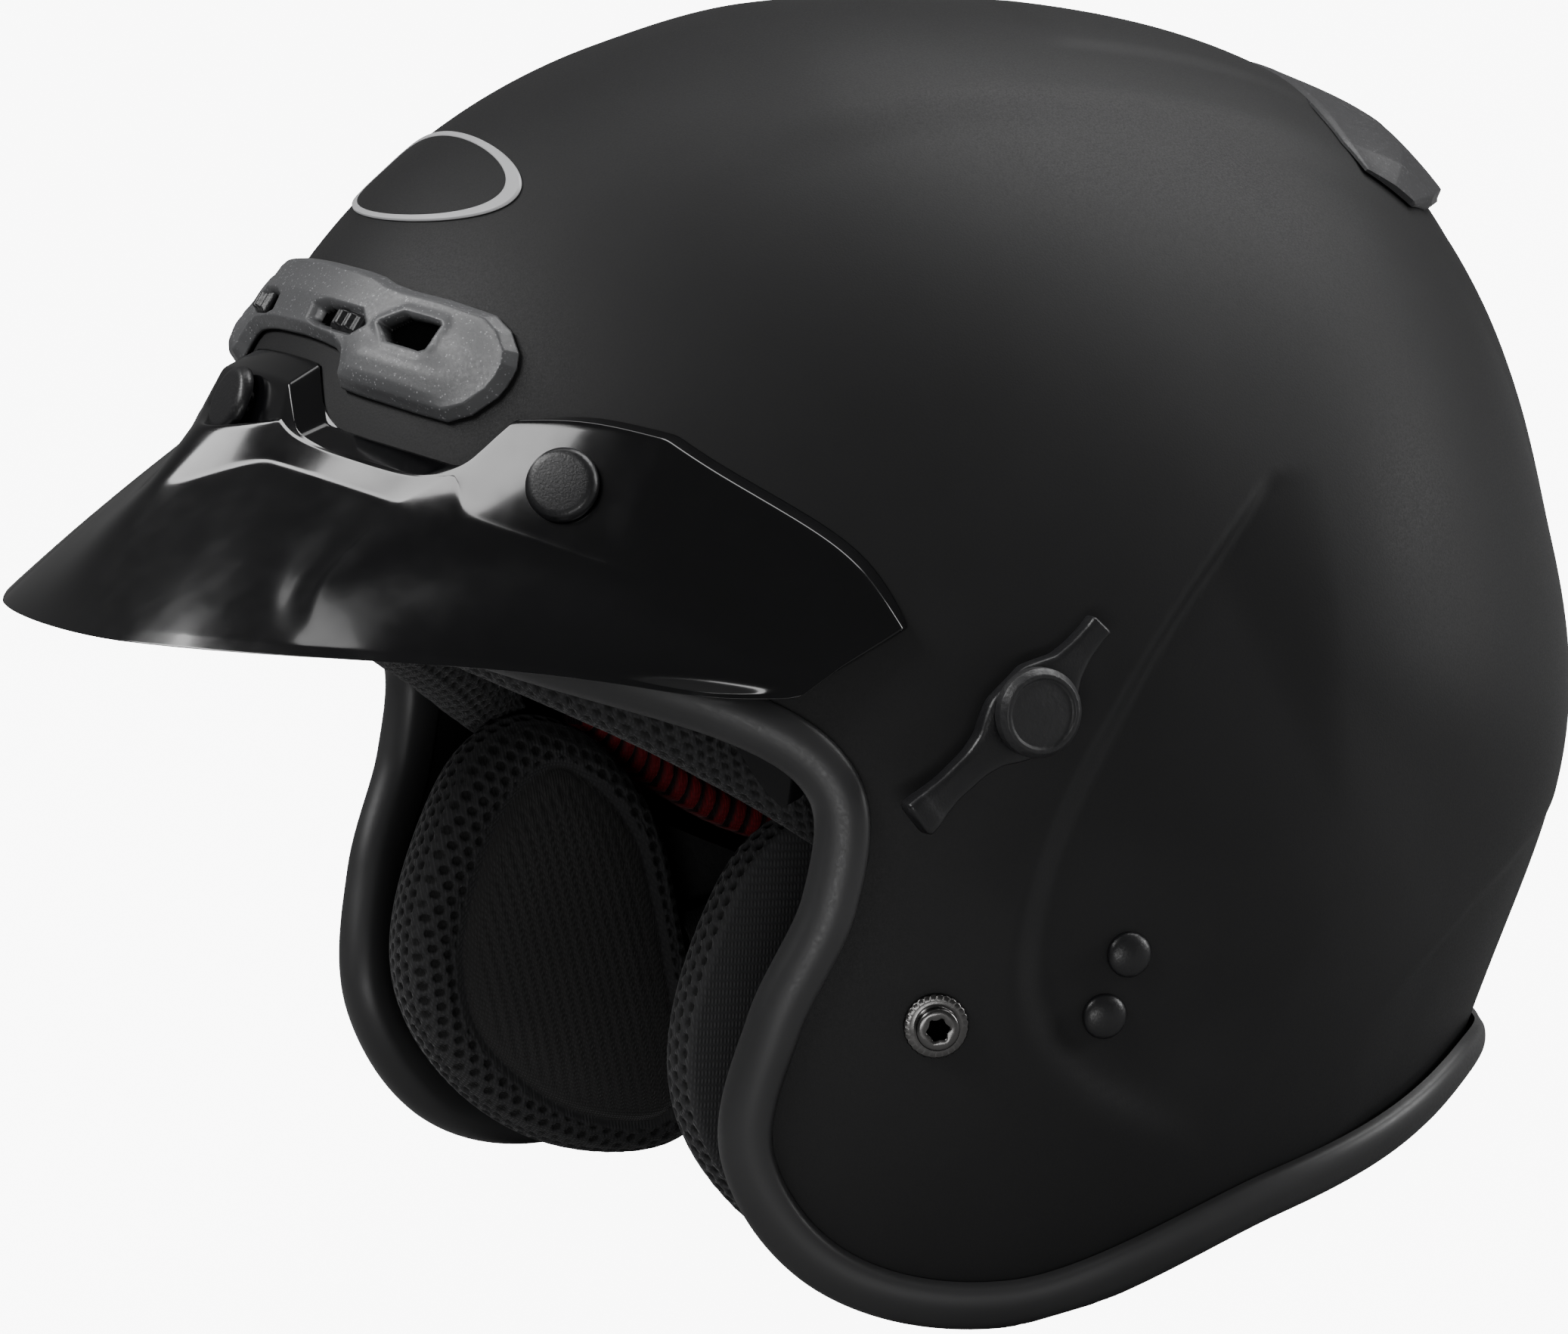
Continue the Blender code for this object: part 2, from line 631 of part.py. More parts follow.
def build_peak_snaps():
    places = (("centre", front_point(0, 127.5), 4.8), ("left", front_point(SNAP_X, SNAP_Z), 4.9),
              ("right", front_point(-SNAP_X, SNAP_Z), 4.9))
    for word, at, gap in places:
        out = normal(at)
        face = gap + 0.5
        cap = ((0, 2.3), (3.3, 2.3), (3.3, face), (CAP_RADIUS, face), (CAP_RADIUS, face + 1.5),
               (0.8 * CAP_RADIUS, face + 2.6), (0, face + 3.0))
        add("peak_cap_" + word, *lathe(cap, at, out, 16), "plastic")
        stud = ((0, -3.6), (1.9, -3.6), (1.9, 0.3), (3.7, 0.3), (3.7, 1.0), (2.6, 1.7), (0, 1.7))
        add("peak_stud_" + word, *lathe(stud, at, out, 12), "chrome")
        cutter("peak", "cut_peak_" + word, at, out, 4.1, 0.8, gap + 3)
        cutter("outer_shell", "cut_shell_peak_" + word, at, out, 2.3, -SHELL_WALL - 3, 3)


# ---------------------------------------------------------------- holes

def cutter(target, name, at, out, radius, low, high, count=10):
    """Round hole through a piece."""
    CUTS.append((target, name, *lathe(((0, low), (radius, low), (radius, high), (0, high)), at, out, count)))


def slot_cutter(target, name, outline, at, out, low, high, towards):
    CUTS.append((target, name, *prism(outline, at, out, low, high, towards)))


# ---------------------------------------------------------------- vents

def build_brow_vent():
    half = []
    for x, low, high in VENT_COLUMNS:
        rows = ((low, 1.4), (low + 1.6, VENT_HEIGHT), (high - 1.6, VENT_HEIGHT), (high, 1.4))
        half.append([(front_point(x, z), lift) for z, lift in rows])
    outer = np.array([[p + normal(p) * lift for p, lift in column] for column in half]).transpose(1, 0, 2)
    inner = np.array([[p + normal(p) * VENT_CLEARANCE for p, lift in column] for column in half]).transpose(1, 0, 2)
    outer = np.concatenate([(outer[:, 1:] * [-1, 1, 1])[:, ::-1], outer], 1)
    inner = np.concatenate([(inner[:, 1:] * [-1, 1, 1])[:, ::-1], inner], 1)
    add("brow_vent_cover", *sheet(outer, inner), "vent", smooth=False)
    for side, word in ((1, "left"), (-1, "right")):
        at = front_point(side * (SLIDER_X - SLIDER_TRAVEL / 2), 148.4)
        out, along, _ = basis(normal(at), AXIS_X * side)
        reach = 5.0 + SLIDER_TRAVEL / 2
        tall = SLOT_HALF_HEIGHT
        slot = ((-tall, -reach), (tall, -reach), (tall, reach), (-tall, reach))
        slot_cutter("brow_vent_cover", "cut_slot_" + word, slot, at, out, -0.6, 8, along)
        block = at + along * SLIDER_TRAVEL / 2
        tall = tall - 0.5
        thumb = ((-tall, -4.4), (tall, -4.4), (tall, 4.4), (-tall, 4.4))
        add("vent_slider_" + word, *prism(thumb, block, out, 0.9, 5.0, along, 0.9), "plastic", False)
        hole = front_point(side * HEX_X, 149.6)
        out, along, _ = basis(normal(hole), AXIS_X * side)
        hexagon = ((-3.0, -3.4), (0, -6.2), (3.0, -3.4), (3.0, 5.6), (0.6, 6.2), (-3.0, 6.2))
        slot_cutter("brow_vent_cover", "cut_hex_" + word, hexagon, hole, out, -0.6, 8, along)
        cutter("outer_shell", "cut_intake_" + word, hole, out, 2.4, -SHELL_WALL - 3, 4, 8)


def build_rear_vent():
    columns = []
    for x, front, back, tall in REAR_VENT_COLUMNS:
        column = []
        for share, lift in ((0, 0.1), (0.3, 0.62), (0.7, 1.0), (0.94, 0.95), (1.0, 0.3)):
            turn = math.radians(front + (back - front) * share)
            foot = cast(np.array([0.0, math.cos(turn), math.sin(turn)]), np.array([x, 0.0, CENTRE_Z]))
            column.append((foot, max(REAR_VENT_CLEARANCE + 0.6, REAR_VENT_HEIGHT * lift * tall)))
        columns.append(column)
    outer = np.array([[p + normal(p) * lift for p, lift in column] for column in columns]).transpose(1, 0, 2)
    inner = np.array([[p + normal(p) * REAR_VENT_CLEARANCE for p, lift in column] for column in columns])
    inner = inner.transpose(1, 0, 2)
    outer = np.concatenate([(outer[:, 1:] * [-1, 1, 1])[:, ::-1], outer], 1)
    inner = np.concatenate([(inner[:, 1:] * [-1, 1, 1])[:, ::-1], inner], 1)
    add("rear_vent", *sheet(outer, inner), "vent", smooth=False)


def build_badge():
    """Blank oval plate on the forehead."""
    rings = []
    for reach, lift in ((0.0, 0.9), (0.5, 0.9), (0.9, 0.9), (1.0, 0.35), (0.5, 0.35), (0.0, 0.35)):
        if reach:
            spots = [front_point(34 * reach * math.cos(a), 181.5 + 10.8 * reach * math.sin(a))
                     for a in np.linspace(0, 2 * math.pi, 20, endpoint=False)]
            rings.append(np.array([p + normal(p) * lift for p in spots]))
        else:
            p = front_point(0.0, 181.5)
            rings.append(p + normal(p) * lift)
    add("front_badge", *stack(rings), "badge")


# ---------------------------------------------------------------- sun lens and lever

def lens_point(x, reach, degrees):
    turn = np.radians(degrees)
    return np.array([x, PIVOT_Y + reach * math.cos(turn), PIVOT_Z + reach * math.sin(turn)])


def build_lens():
    stations = np.array([14, 25, 38, 43, 47, 58, 72, 86, 98, 106, 110]) / 110.0
    grids = []
    for wall in (0.0, LENS_WALL):
        half = []
        for station in stations:
            reach = LENS_RADIUS * station
            x = LENS_HALF_WIDTH * (1 - station ** LENS_POWER) ** (1 / LENS_POWER)
            low = np.interp(reach, LENS_REACH, LENS_LOW)
            high = np.interp(reach, LENS_REACH, LENS_HIGH)
            slope_x = (x / LENS_HALF_WIDTH) ** (LENS_POWER - 1) / LENS_HALF_WIDTH
            slope_r = station ** (LENS_POWER - 1) / LENS_RADIUS
            size = math.hypot(slope_x, slope_r)
            x = x - wall * slope_x / size
            reach = reach - wall * slope_r / size
            half.append([lens_point(x, reach, low + (high - low) * f) for f in np.linspace(0, 1, 5)])
        half = np.array(half).transpose(1, 0, 2)
        grids.append(np.concatenate([half, (half[:, :-1] * [-1, 1, 1])[:, ::-1]], 1))
    add("sun_lens", *sheet(*grids), "lens")
    pivot = np.array([0.0, PIVOT_Y, PIVOT_Z])
    shell = float(side_point(PIVOT_Y, PIVOT_Z)[0])
    inner = LENS_HALF_WIDTH - 2.8
    boss = inner + 9.0
    base_end = shell - SHELL_WALL - 4.6
    for side, word in ((1, "left"), (-1, "right")):
        hub = ((0, inner), (HUB_RADIUS, inner), (HUB_RADIUS, inner + 3.4), (6, inner + 3.4), (6, boss), (0, boss))
        add("lens_hub_" + word, *lathe(hub, pivot, AXIS_X * side, 16), "plastic")
        base = ((3.7, boss + 0.5), (10, boss + 0.5), (10, base_end), (3.7, base_end))
        turn = np.linspace(0, 2 * math.pi, 14, endpoint=False)
        sections = [np.array([[side * h, PIVOT_Y + r * math.cos(a), PIVOT_Z + r * math.sin(a)] for r, h in base])
                    for a in turn]
        add("lens_base_" + word, *loop_body(sections), "plastic")
    pin = ((0, boss + 0.3), (3.2, boss + 0.3), (3.2, base_end), (0, base_end))
    add("lens_pin_right", *lathe(pin, pivot, -AXIS_X, 12), "steel")
    plate = LEVER_FACE_X - 8.4
    shaft = ((0, boss + 0.3), (3.2, boss + 0.3), (3.2, plate - 0.3), (0, plate - 0.3))
    add("lever_shaft", *lathe(shaft, pivot, AXIS_X, 12), "steel")
    cutter("outer_shell", "cut_shell_shaft", pivot, AXIS_X, 3.8, shell - 12, shell + 6, 12)
    outline = lever_outline()
    add("lens_lever", *prism(outline, pivot, AXIS_X, plate, plate + 4.6, -AXIS_Z, 0.8), "plastic", False)
    knob = ((0, plate + 4.9), (LEVER_KNOB_RADIUS, plate + 4.9), (LEVER_KNOB_RADIUS, LEVER_FACE_X - 1.2),
            (LEVER_KNOB_RADIUS - 1.4, LEVER_FACE_X), (LEVER_KNOB_RADIUS - 2.0, LEVER_FACE_X - 0.5),
            (0, LEVER_FACE_X - 0.5))
    add("lever_knob", *lathe(knob, pivot, AXIS_X, 20), "plastic")


def lever_outline():
    """Lever seen from the side, as (across, down) about the pivot: a disc with a long and a short arm."""
    long_arm = math.radians(240)
    short_arm = math.radians(68)
    points = []
    for centre, length, half, tip in ((long_arm, 31.0, 3.0, 4.2), (short_arm, 21.5, 2.8, 2.6)):
        along = np.array([math.cos(centre), math.sin(centre)])
        across = np.array([-along[1], along[0]])
        root = math.asin(half / LEVER_KNOB_RADIUS)
        turn = math.pi if centre == short_arm else 0
        points += [along * (length - 7) - across * half, along * (length - 5.5) - across * tip,
                   along * length - across * tip, along * length + across * tip,
                   along * (length - 5.5) + across * tip, along * (length - 7) + across * half]
        start = centre + root
        stop = (short_arm + 2 * math.pi if centre == long_arm else long_arm) - math.asin(3.0 / LEVER_KNOB_RADIUS)
        if stop < start:
            start -= 2 * math.pi
        for a in np.linspace(start, stop, 6):
            points.append(LEVER_KNOB_RADIUS * np.array([math.cos(a), math.sin(a)]))
    _, down, across = basis(AXIS_X)
    return [(across[1] * y + across[2] * z, down[1] * y + down[2] * z) for y, z in points]


# ---------------------------------------------------------------- rivets, studs and straps

def build_fittings():
    for side, word in ((1, "left"), (-1, "right")):
        at = side_point(*STUD_PLACE, side)
        out = normal(at)
        stud = ((0, -3.7), (2.0, -3.7), (2.0, 0.3), (STUD_RADIUS, 0.3), (STUD_RADIUS, 1.1), (STUD_RADIUS - 0.2, 1.4),
                (4.3, 1.4), (3.7, 2.4), (4.2, 3.8), (3.6, 4.6), (1.9, 4.6), (1.9, 2.0), (0, 2.0))
        add("snap_stud_" + word, *lathe(stud, at, out, 16), "chrome")
        cutter("outer_shell", "cut_shell_stud_" + word, at, out, 2.4, -SHELL_WALL - 3, 3)
        for place, order in zip(RIVETS, ("upper", "lower")):
            at = side_point(*place, side)
            out = normal(at)
            rivet = ((0, -3.8), (2.0, -3.8), (2.0, 0.3), (RIVET_RADIUS, 0.3), (RIVET_RADIUS, 0.7),
                     (0.75 * RIVET_RADIUS, 1.7), (0, 2.2))
            add("strap_rivet_" + word + "_" + order, *lathe(rivet, at, out, 12), "plastic")
            cutter("outer_shell", "cut_shell_rivet_" + word + "_" + order, at, out, 2.4, -SHELL_WALL - 3, 3)
        at = side_point(STRAP_START[1], STRAP_START[2], side)
        out = normal(at)
        plate = ((-7, -9.5), (7, -9.5), (7, 9.5), (-7, 9.5))
        add("strap_plate_" + word, *prism(plate, at, out, -5.7, -4.7, STRAP_DOWN), "steel", False)


def strap_path(bends):
    """Strap centre line: down between shell and foam, under the foam, then up inside."""
    drops = np.linspace(14.5, 36, 5)
    places = STRAP_START + drops[:, None] * STRAP_DOWN
    x = shell_x(places[:, 1:], SHELL_WALL + STRAP_SPACE / 2 + 0.2)
    path = [np.array([a, p[1], p[2]]) for a, p in zip(x, places)]
    across = []
    for p in path:
        n = normal(p)
        across.append(STRAP_ACROSS - n * (n @ STRAP_ACROSS))
    path += [STRAP_START + STRAP_DOWN * drop + AXIS_X * a for a, drop in bends]
    across += [(across[-1] + STRAP_ACROSS) / 2] + [STRAP_ACROSS] * (len(bends) - 1)
    return np.array(path), np.array(across)


def build_straps():
    inside = ((102, 42), (97, 46.4), (90, 49.4), (83, 50), (77, 48.6), (73.2, 44), (72, 38), (72, 27), (72, 17),
              (70.9, 13.4), (68, 11.8), (65.1, 13.4), (64, 17))
    hanging = inside + ((64, 24), (64, 31), (62.6, 35), (59, 36.8), (55.4, 35), (54, 31), (56, 26.5), (60, 21.5),
                        (61.6, 17))
    for bends, mirror, word in ((hanging, 1, "left"), (inside + ((64, 24), (64, 33), (64, 42)), -1, "right")):
        path, across = strap_path(bends)
        flip = np.array([mirror, 1, 1])
        add("chin_strap_" + word, *ribbon(path * flip, across * flip, STRAP_WIDTH, STRAP_THICKNESS), "web")
    keeper = STRAP_START + STRAP_DOWN * 34 - AXIS_X * 64
    cap = ((0, 1.1), (5.0, 1.1), (5.0, 2.2), (3.2, 3.4), (0, 3.4))
    add("strap_keeper", *lathe(cap, keeper, AXIS_X, 12), "plastic")
    half = STRAP_WIDTH / 2 + 2.2
    for x, word in zip(RING_BARS, ("outer", "inner")):
        turn = np.linspace(0, math.pi, 9)
        bow = [(half * math.cos(a), 7 + 12 * math.sin(a)) for a in turn]
        path = [(-half / 2, 0.0), (0.0, 0.0), (half / 2, 0.0), (half - 0.8, 0.3), (half, 2.5)] + bow
        path += [(-half, 2.5), (-half + 0.8, 0.3)]
        middle = STRAP_START + AXIS_X * x + STRAP_DOWN * RING_DROP
        ring = [middle + STRAP_ACROSS * u + STRAP_DOWN * v for u, v in path]
        add("d_ring_" + word, *tube(ring, RING_WIRE, 6, True), "steel")
        ORIGINS["d_ring_" + word] = middle


# ---------------------------------------------------------------- standing the helmet up

def lean_angle(trim):
    """How far the shell leans back so that cheeks and neck edge touch the floor together."""
    low, high = 0.0, math.radians(60)
    for _ in range(50):
        mid = (low + high) / 2
        height = trim[:, 2] * math.cos(mid) - trim[:, 1] * math.sin(mid)
        front = height[trim[:, 1] < 20].min()
        back = height[trim[:, 1] > 60].min()
        low, high = (mid, high) if back > front else (low, mid)
    return low


def stand(points, lean, floor, shift):
    """Shell millimetres to standing metres."""
    p = np.asarray(points, float)
    y = p[..., 1] * math.cos(lean) + p[..., 2] * math.sin(lean)
    z = p[..., 2] * math.cos(lean) - p[..., 1] * math.sin(lean)
    return np.stack([p[..., 0] + shift[0], y + shift[1], z - floor], -1) * MM


def make_object(name, points, faces, origin):
    mesh = bpy.data.meshes.new(name)
    mesh.from_pydata((points - origin).tolist(), [], [[int(v) for v in face] for face in faces])
    work = bmesh.new()
    work.from_mesh(mesh)
    bmesh.ops.recalc_face_normals(work, faces=work.faces)
    work.to_mesh(mesh)
    work.free()
    made = bpy.data.objects.new(name, mesh)
    made.matrix_world = Matrix.Translation(origin.tolist())
    bpy.context.scene.collection.objects.link(made)
    return made


def subtract(target, name, points, faces):
    tool = make_object(name, points, faces, np.zeros(3))
    tool.hide_render = True
    tool.display_type = "WIRE"
    cut = target.modifiers.new(name, "BOOLEAN")
    cut.operation = "DIFFERENCE"
    cut.solver = "EXACT"
    cut.object = tool


def main():
    for found in list(bpy.data.objects):
        bpy.data.objects.remove(found)
    build_shell()
    build_crown_foam()
    build_cheeks()
    build_rolls()
    build_band()
    build_peak()
    build_peak_snaps()
    build_brow_vent()
    build_rear_vent()
    build_badge()
    build_lens()
    build_fittings()
    build_straps()
    trim = PIECES["edge_trim"][0]
    lean = lean_angle(trim)
    height = trim[:, 2] * math.cos(lean) - trim[:, 1] * math.sin(lean)
    floor = height.min() + FLOOR_FLAT
    every = np.vstack([stand(points, lean, floor, (0.0, 0.0)) for points, _, _, _ in PIECES.values()]) / MM
    shift = -(every[:, :2].min(0) + every[:, :2].max(0)) / 2
    pivot = np.array([0.0, PIVOT_Y, PIVOT_Z])
    for name in ("sun_lens", "lens_hub_left", "lens_hub_right", "lever_shaft", "lens_lever", "lever_knob"):
        ORIGINS[name] = pivot
    made = {}
    for name, (points, faces, kind, smooth) in PIECES.items():
        placed = stand(points, lean, floor, shift)
        if name in ORIGINS:
            origin = stand(ORIGINS[name], lean, floor, shift)
        elif name.startswith("vent_slider"):
            origin = placed.mean(0)
        else:
            origin = np.zeros(3)
        made[name] = make_object(name, placed, faces, origin)
        made[name].data.materials.append(surface_of(kind))
        if smooth:
            made[name].data.shade_smooth()
    for target, name, points, faces in CUTS:
        subtract(made[target], name, stand(points, lean, floor, shift), faces)
    corners = np.array([[-1, -1, 0], [1, -1, 0], [1, 1, 0], [-1, 1, 0]]) * HALF_WIDTH * 2 * MM
    subtract(made["edge_trim"], "cut_floor", *stack([corners - AXIS_Z * HALF_WIDTH * MM, corners]))


main()
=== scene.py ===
"""Looks of an open-face motorcycle helmet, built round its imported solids.

Shell coordinates are millimetres: front is -Y, the wearer's left is +X, Z is up through the crown.
stand() leans them back onto the floor and gives metres.
"""

import math

import bmesh
import bpy
import numpy as np
from mathutils import Matrix


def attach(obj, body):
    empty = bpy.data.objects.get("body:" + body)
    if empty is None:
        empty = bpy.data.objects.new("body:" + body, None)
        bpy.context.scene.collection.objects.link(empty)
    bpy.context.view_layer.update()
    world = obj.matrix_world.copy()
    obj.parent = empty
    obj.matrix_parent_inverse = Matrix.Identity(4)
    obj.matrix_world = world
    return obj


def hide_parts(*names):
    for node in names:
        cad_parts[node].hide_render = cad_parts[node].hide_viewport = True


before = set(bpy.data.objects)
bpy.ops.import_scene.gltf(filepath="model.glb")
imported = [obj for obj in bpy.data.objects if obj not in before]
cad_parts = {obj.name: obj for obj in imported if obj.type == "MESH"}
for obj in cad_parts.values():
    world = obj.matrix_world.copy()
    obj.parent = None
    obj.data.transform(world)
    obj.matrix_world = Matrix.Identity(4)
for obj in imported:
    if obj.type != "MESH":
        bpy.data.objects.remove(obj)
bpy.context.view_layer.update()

# ---------------------------------------------------------------- dimensions, as in the solids

LEAN = math.radians(35.64430254)
FLOOR = 12.20031297
SHIFT = (-1.9160568, -33.50333944)
HALF_WIDTH = 123.2
PROFILE_MEAN = 146.76
PROFILE_HARMONICS = ((-31.78, -41.91), (-11.99, 4.07), (-3.99, 7.44), (5.76, 0.62), (1.2, -0.39))
BROW_FLAT, BROW_ANGLE, BROW_WIDTH = 2.8, 178.0, 34.0
CENTRE_Z = 146.7
SECTION_POWER = 2.04
WIDEN_REARWARD = 0.038
NARROW_UPWARD = 0.131
SHELL_WALL = 3.5
FARTHEST, HALVINGS = 420.0, 34
PIVOT = np.array([0.0, -57.0, 119.7])
LEVER_FACE_X = 130.5
KNOB_RADIUS = 8.6
RIVETS = ((-19.0, 82.2), (-19.0, 69.4))
STUD_PLACE = (-49.6, 57.7)
PAD_OUTLINE = ((-70, 88), (-79, 76), (-81, 54), (-78, 35), (-69, 21), (-53, 11), (-34, 7), (-15, 10),
               (-3, 18), (-3, 31), (-10, 41), (-18, 52), (-26, 65), (-33, 76), (-43, 85), (-56, 90))
PAD_INNER_X = 60.0
PAD_OUTER_X = 77.4
EPS_DEPTH = 33.0
FOAM_GAP = 0.6
LINER_THICKNESS = 6.0
SNAP_X, SNAP_Z = 74.3, 130.8

CENTRE = np.array([0.0, 0.0, CENTRE_Z])
APEX = np.array([0.0, 0.15, 1.0]) / math.hypot(1.0, 0.15)
AXIS_X = np.array([1.0, 0.0, 0.0])
AXIS_Y = np.array([0.0, 1.0, 0.0])
AXIS_Z = np.array([0.0, 0.0, 1.0])
MIRROR = np.array([-1.0, 1.0, 1.0])
MM = 0.001


def stand(points):
    """Shell millimetres to standing metres."""
    p = np.asarray(points, float)
    y = p[..., 1] * math.cos(LEAN) + p[..., 2] * math.sin(LEAN) + SHIFT[1]
    z = p[..., 2] * math.cos(LEAN) - p[..., 1] * math.sin(LEAN) - FLOOR
    return np.stack([p[..., 0] + SHIFT[0], y, z], -1) * MM


def turn(direction):
    """A direction in the shell's frame, as it points when the helmet stands."""
    d = np.asarray(direction, float)
    return np.array([d[0], d[1] * math.cos(LEAN) + d[2] * math.sin(LEAN),
                     d[2] * math.cos(LEAN) - d[1] * math.sin(LEAN)])


def unit(vectors):
    """The same directions at length 1."""
    v = np.asarray(vectors, float)
    return v / np.linalg.norm(v, axis=-1, keepdims=True)


def run_along(path):
    """Distance along a polyline at each of its points."""
    return np.concatenate([[0], np.cumsum(np.linalg.norm(np.diff(path, axis=0), axis=1))])


def profile(theta):
    """Radius of the shell's side view about its centre."""
    radius = np.full(np.shape(theta), PROFILE_MEAN)
    for order, (cosine, sine) in enumerate(PROFILE_HARMONICS, 1):
        radius = radius + cosine * np.cos(order * theta) + sine * np.sin(order * theta)
    away = np.degrees(np.asarray(theta) % (2 * math.pi)) - BROW_ANGLE
    return radius - BROW_FLAT * np.exp(-(away / BROW_WIDTH) ** 2)


def level(points):
    """1 on the shell's outer surface, less inside, more outside."""
    p = np.asarray(points, float)
    z = p[..., 2] - CENTRE_Z
    half = HALF_WIDTH * (1 + WIDEN_REARWARD * p[..., 1] / 140 - NARROW_UPWARD * z / 125)
    reach = np.hypot(p[..., 1], z) / profile(np.arctan2(z, p[..., 1]))
    return (np.abs(p[..., 0]) / half) ** SECTION_POWER + reach ** SECTION_POWER


def normal(points):
    """Outward direction of the level surface through each point."""
    p = np.asarray(points, float)
    return unit(np.stack([level(p + step) - level(p - step) for step in 0.4 * np.eye(3)], -1))


def cast(directions, origin=CENTRE):
    """Where rays from origin leave the shell's outer surface."""
    d = unit(directions)
    low = np.zeros(np.broadcast_shapes(d.shape, np.shape(origin))[:-1])
    high = low + FARTHEST
    for _ in range(HALVINGS):
        mid = (low + high) / 2
        inside = level(origin + d * mid[..., None]) < 1
        low = np.where(inside, mid, low)
        high = np.where(inside, high, mid)
    return origin + d * low[..., None]


def snap(points):
    """Points moved onto the outer surface, along the ray from the centre."""
    return cast(np.asarray(points, float) - CENTRE)


def inset(points, depth):
    """Points moved inwards by a depth."""
    return points - normal(points) * depth


def side_point(y, z, side=1):
    """Surface point on one side at y and z."""
    return cast(np.array([float(side), 0.0, 0.0]), np.array([0.0, y, z]))


def front_point(x, z):
    """Surface point on the front at x and z."""
    return cast(np.array([0.0, -1.0, 0.0]), np.array([x, 0.0, z]))


def front_grid(x, z):
    """Surface points on the front for arrays of x and z."""
    origin = np.stack([x, np.zeros_like(x), z], -1)
    return cast(np.array([0.0, -1.0, 0.0]) + 0 * origin, origin)


def catmull(points, per_span, closed):
    """Smooth curve through the points."""
    p = np.asarray(points, float)
    count = len(p)
    out = []
    for i in range(count if closed else count - 1):
        if closed:
            a, b, c, d = (p[(i + k - 1) % count] for k in range(4))
        else:
            a, b, c, d = p[max(i - 1, 0)], p[i], p[i + 1], p[min(i + 2, count - 1)]
        for t in np.linspace(0, 1, per_span, endpoint=False):
            out.append(0.5 * (2 * b + (c - a) * t + (2 * a - 5 * b + 4 * c - d) * t * t
                              + (3 * b - a - 3 * c + d) * t ** 3))
    if not closed:
        out.append(p[-1])
    return np.array(out)


def resample(points, count, closed):
    """The same polyline with evenly spaced points."""
    p = np.asarray(points, float)
    if closed:
        p = np.vstack([p, p[:1]])
    run = run_along(p)
    at = np.linspace(0, run[-1], count, endpoint=not closed)
    return np.stack([np.interp(at, run, p[:, k]) for k in range(p.shape[1])], -1)


def smoothstep(low, high, value):
    """0 at low and 1 at high, with a smooth start and end."""
    t = np.clip((value - low) / (high - low), 0, 1)
    return t * t * (3 - 2 * t)


def mirrored_loop(half):
    """Closed loop from its left half, which starts and ends on the centre line."""
    half = np.asarray(half, float)
    return np.vstack([half, (half[1:-1] * MIRROR)[::-1]])


def mirrored_path(half):
    """Open path from its left half, which starts on the centre line."""
    half = np.asarray(half, float)
    return np.vstack([(half[1:] * MIRROR)[::-1], half])


def two_sided(grid):
    """A grid that starts on the centre line, joined to its mirror image."""
    return np.concatenate([(grid[:, 1:] * MIRROR)[:, ::-1], grid], 1)


def rim_half():
    """Left half of the shell's lower edge, from the brow round the cheek to the neck."""
    brow = [front_point(x, z) for x, z in ((0, 98.6), (25, 98.7), (50, 98.9), (72, 99.4))]
    side = ((-103.4, 101.1), (-82.4, 94.1), (-75.4, 72.9), (-75.5, 47.7), (-69.0, 22.4), (-45.5, 7.1),
            (-11.9, 12.4), (29.8, 48.3), (71.6, 82.0))
    cheek = [side_point(y, z) for y, z in side]
    neck = [cast(AXIS_Y, np.array([x, 0.0, z])) for x, z in ((58, 90.5), (29, 93.0), (0, 93.6))]
    return np.array(brow + cheek + neck)


def edge_rings(half, count, depths):
    """Loop on the shell from its left half, with rings at depths further in, and the inward directions."""
    loop = snap(resample(catmull(mirrored_loop(half), 24, True), count, True))
    along = np.roll(loop, -1, 0) - np.roll(loop, 1, 0)
    inward = unit(np.cross(normal(loop), along))
    if np.sum(inward * (CENTRE + 90 * AXIS_Z - loop)) < 0:
        inward = -inward
    return [loop] + [snap(loop + inward * depth) for depth in depths], inward


def crown_rings(start, rows):
    """Rings on the shell from a start ring up to the apex, which is the last one."""
    first = unit(start - CENTRE)
    angle = np.arccos(np.clip(first @ APEX, -1, 1))[:, None]
    rings = []
    for k in range(1, rows):
        t = k / rows
        rings.append(cast((np.sin((1 - t) * angle) * first + np.sin(t * angle) * APEX) / np.sin(angle)))
    return rings + [cast(APEX)]


# ---------------------------------------------------------------- mesh building

def stack(rings):
    """Closed body from rings of equal length. The first and last may be single points."""
    points, faces, starts = [], [], []
    for ring in rings:
        ring = np.atleast_2d(ring)
        starts.append((len(points), len(ring)))
        points.extend(ring)
    for (a, na), (b, nb) in zip(starts, starts[1:]):
        count = max(na, nb)
        for i in range(count):
            j = (i + 1) % count
            quad = [a + i % na, a + j % na, b + j % nb, b + i % nb]
            faces.append([v for k, v in enumerate(quad) if v not in quad[:k]])
    for start, count in (starts[0], starts[-1]):
        if count > 1:
            faces.append(list(range(start, start + count)))
    return np.array(points), faces


def loop_body(sections):
    """Closed tube from sections of equal length, with the last joined to the first."""
    rows, count = len(sections), len(sections[0])
    points = np.vstack(sections)
    faces = []
    for i in range(rows):
        k = (i + 1) % rows
        for j in range(count):
            m = (j + 1) % count
            faces.append([i * count + j, i * count + m, k * count + m, k * count + j])
    return points, faces


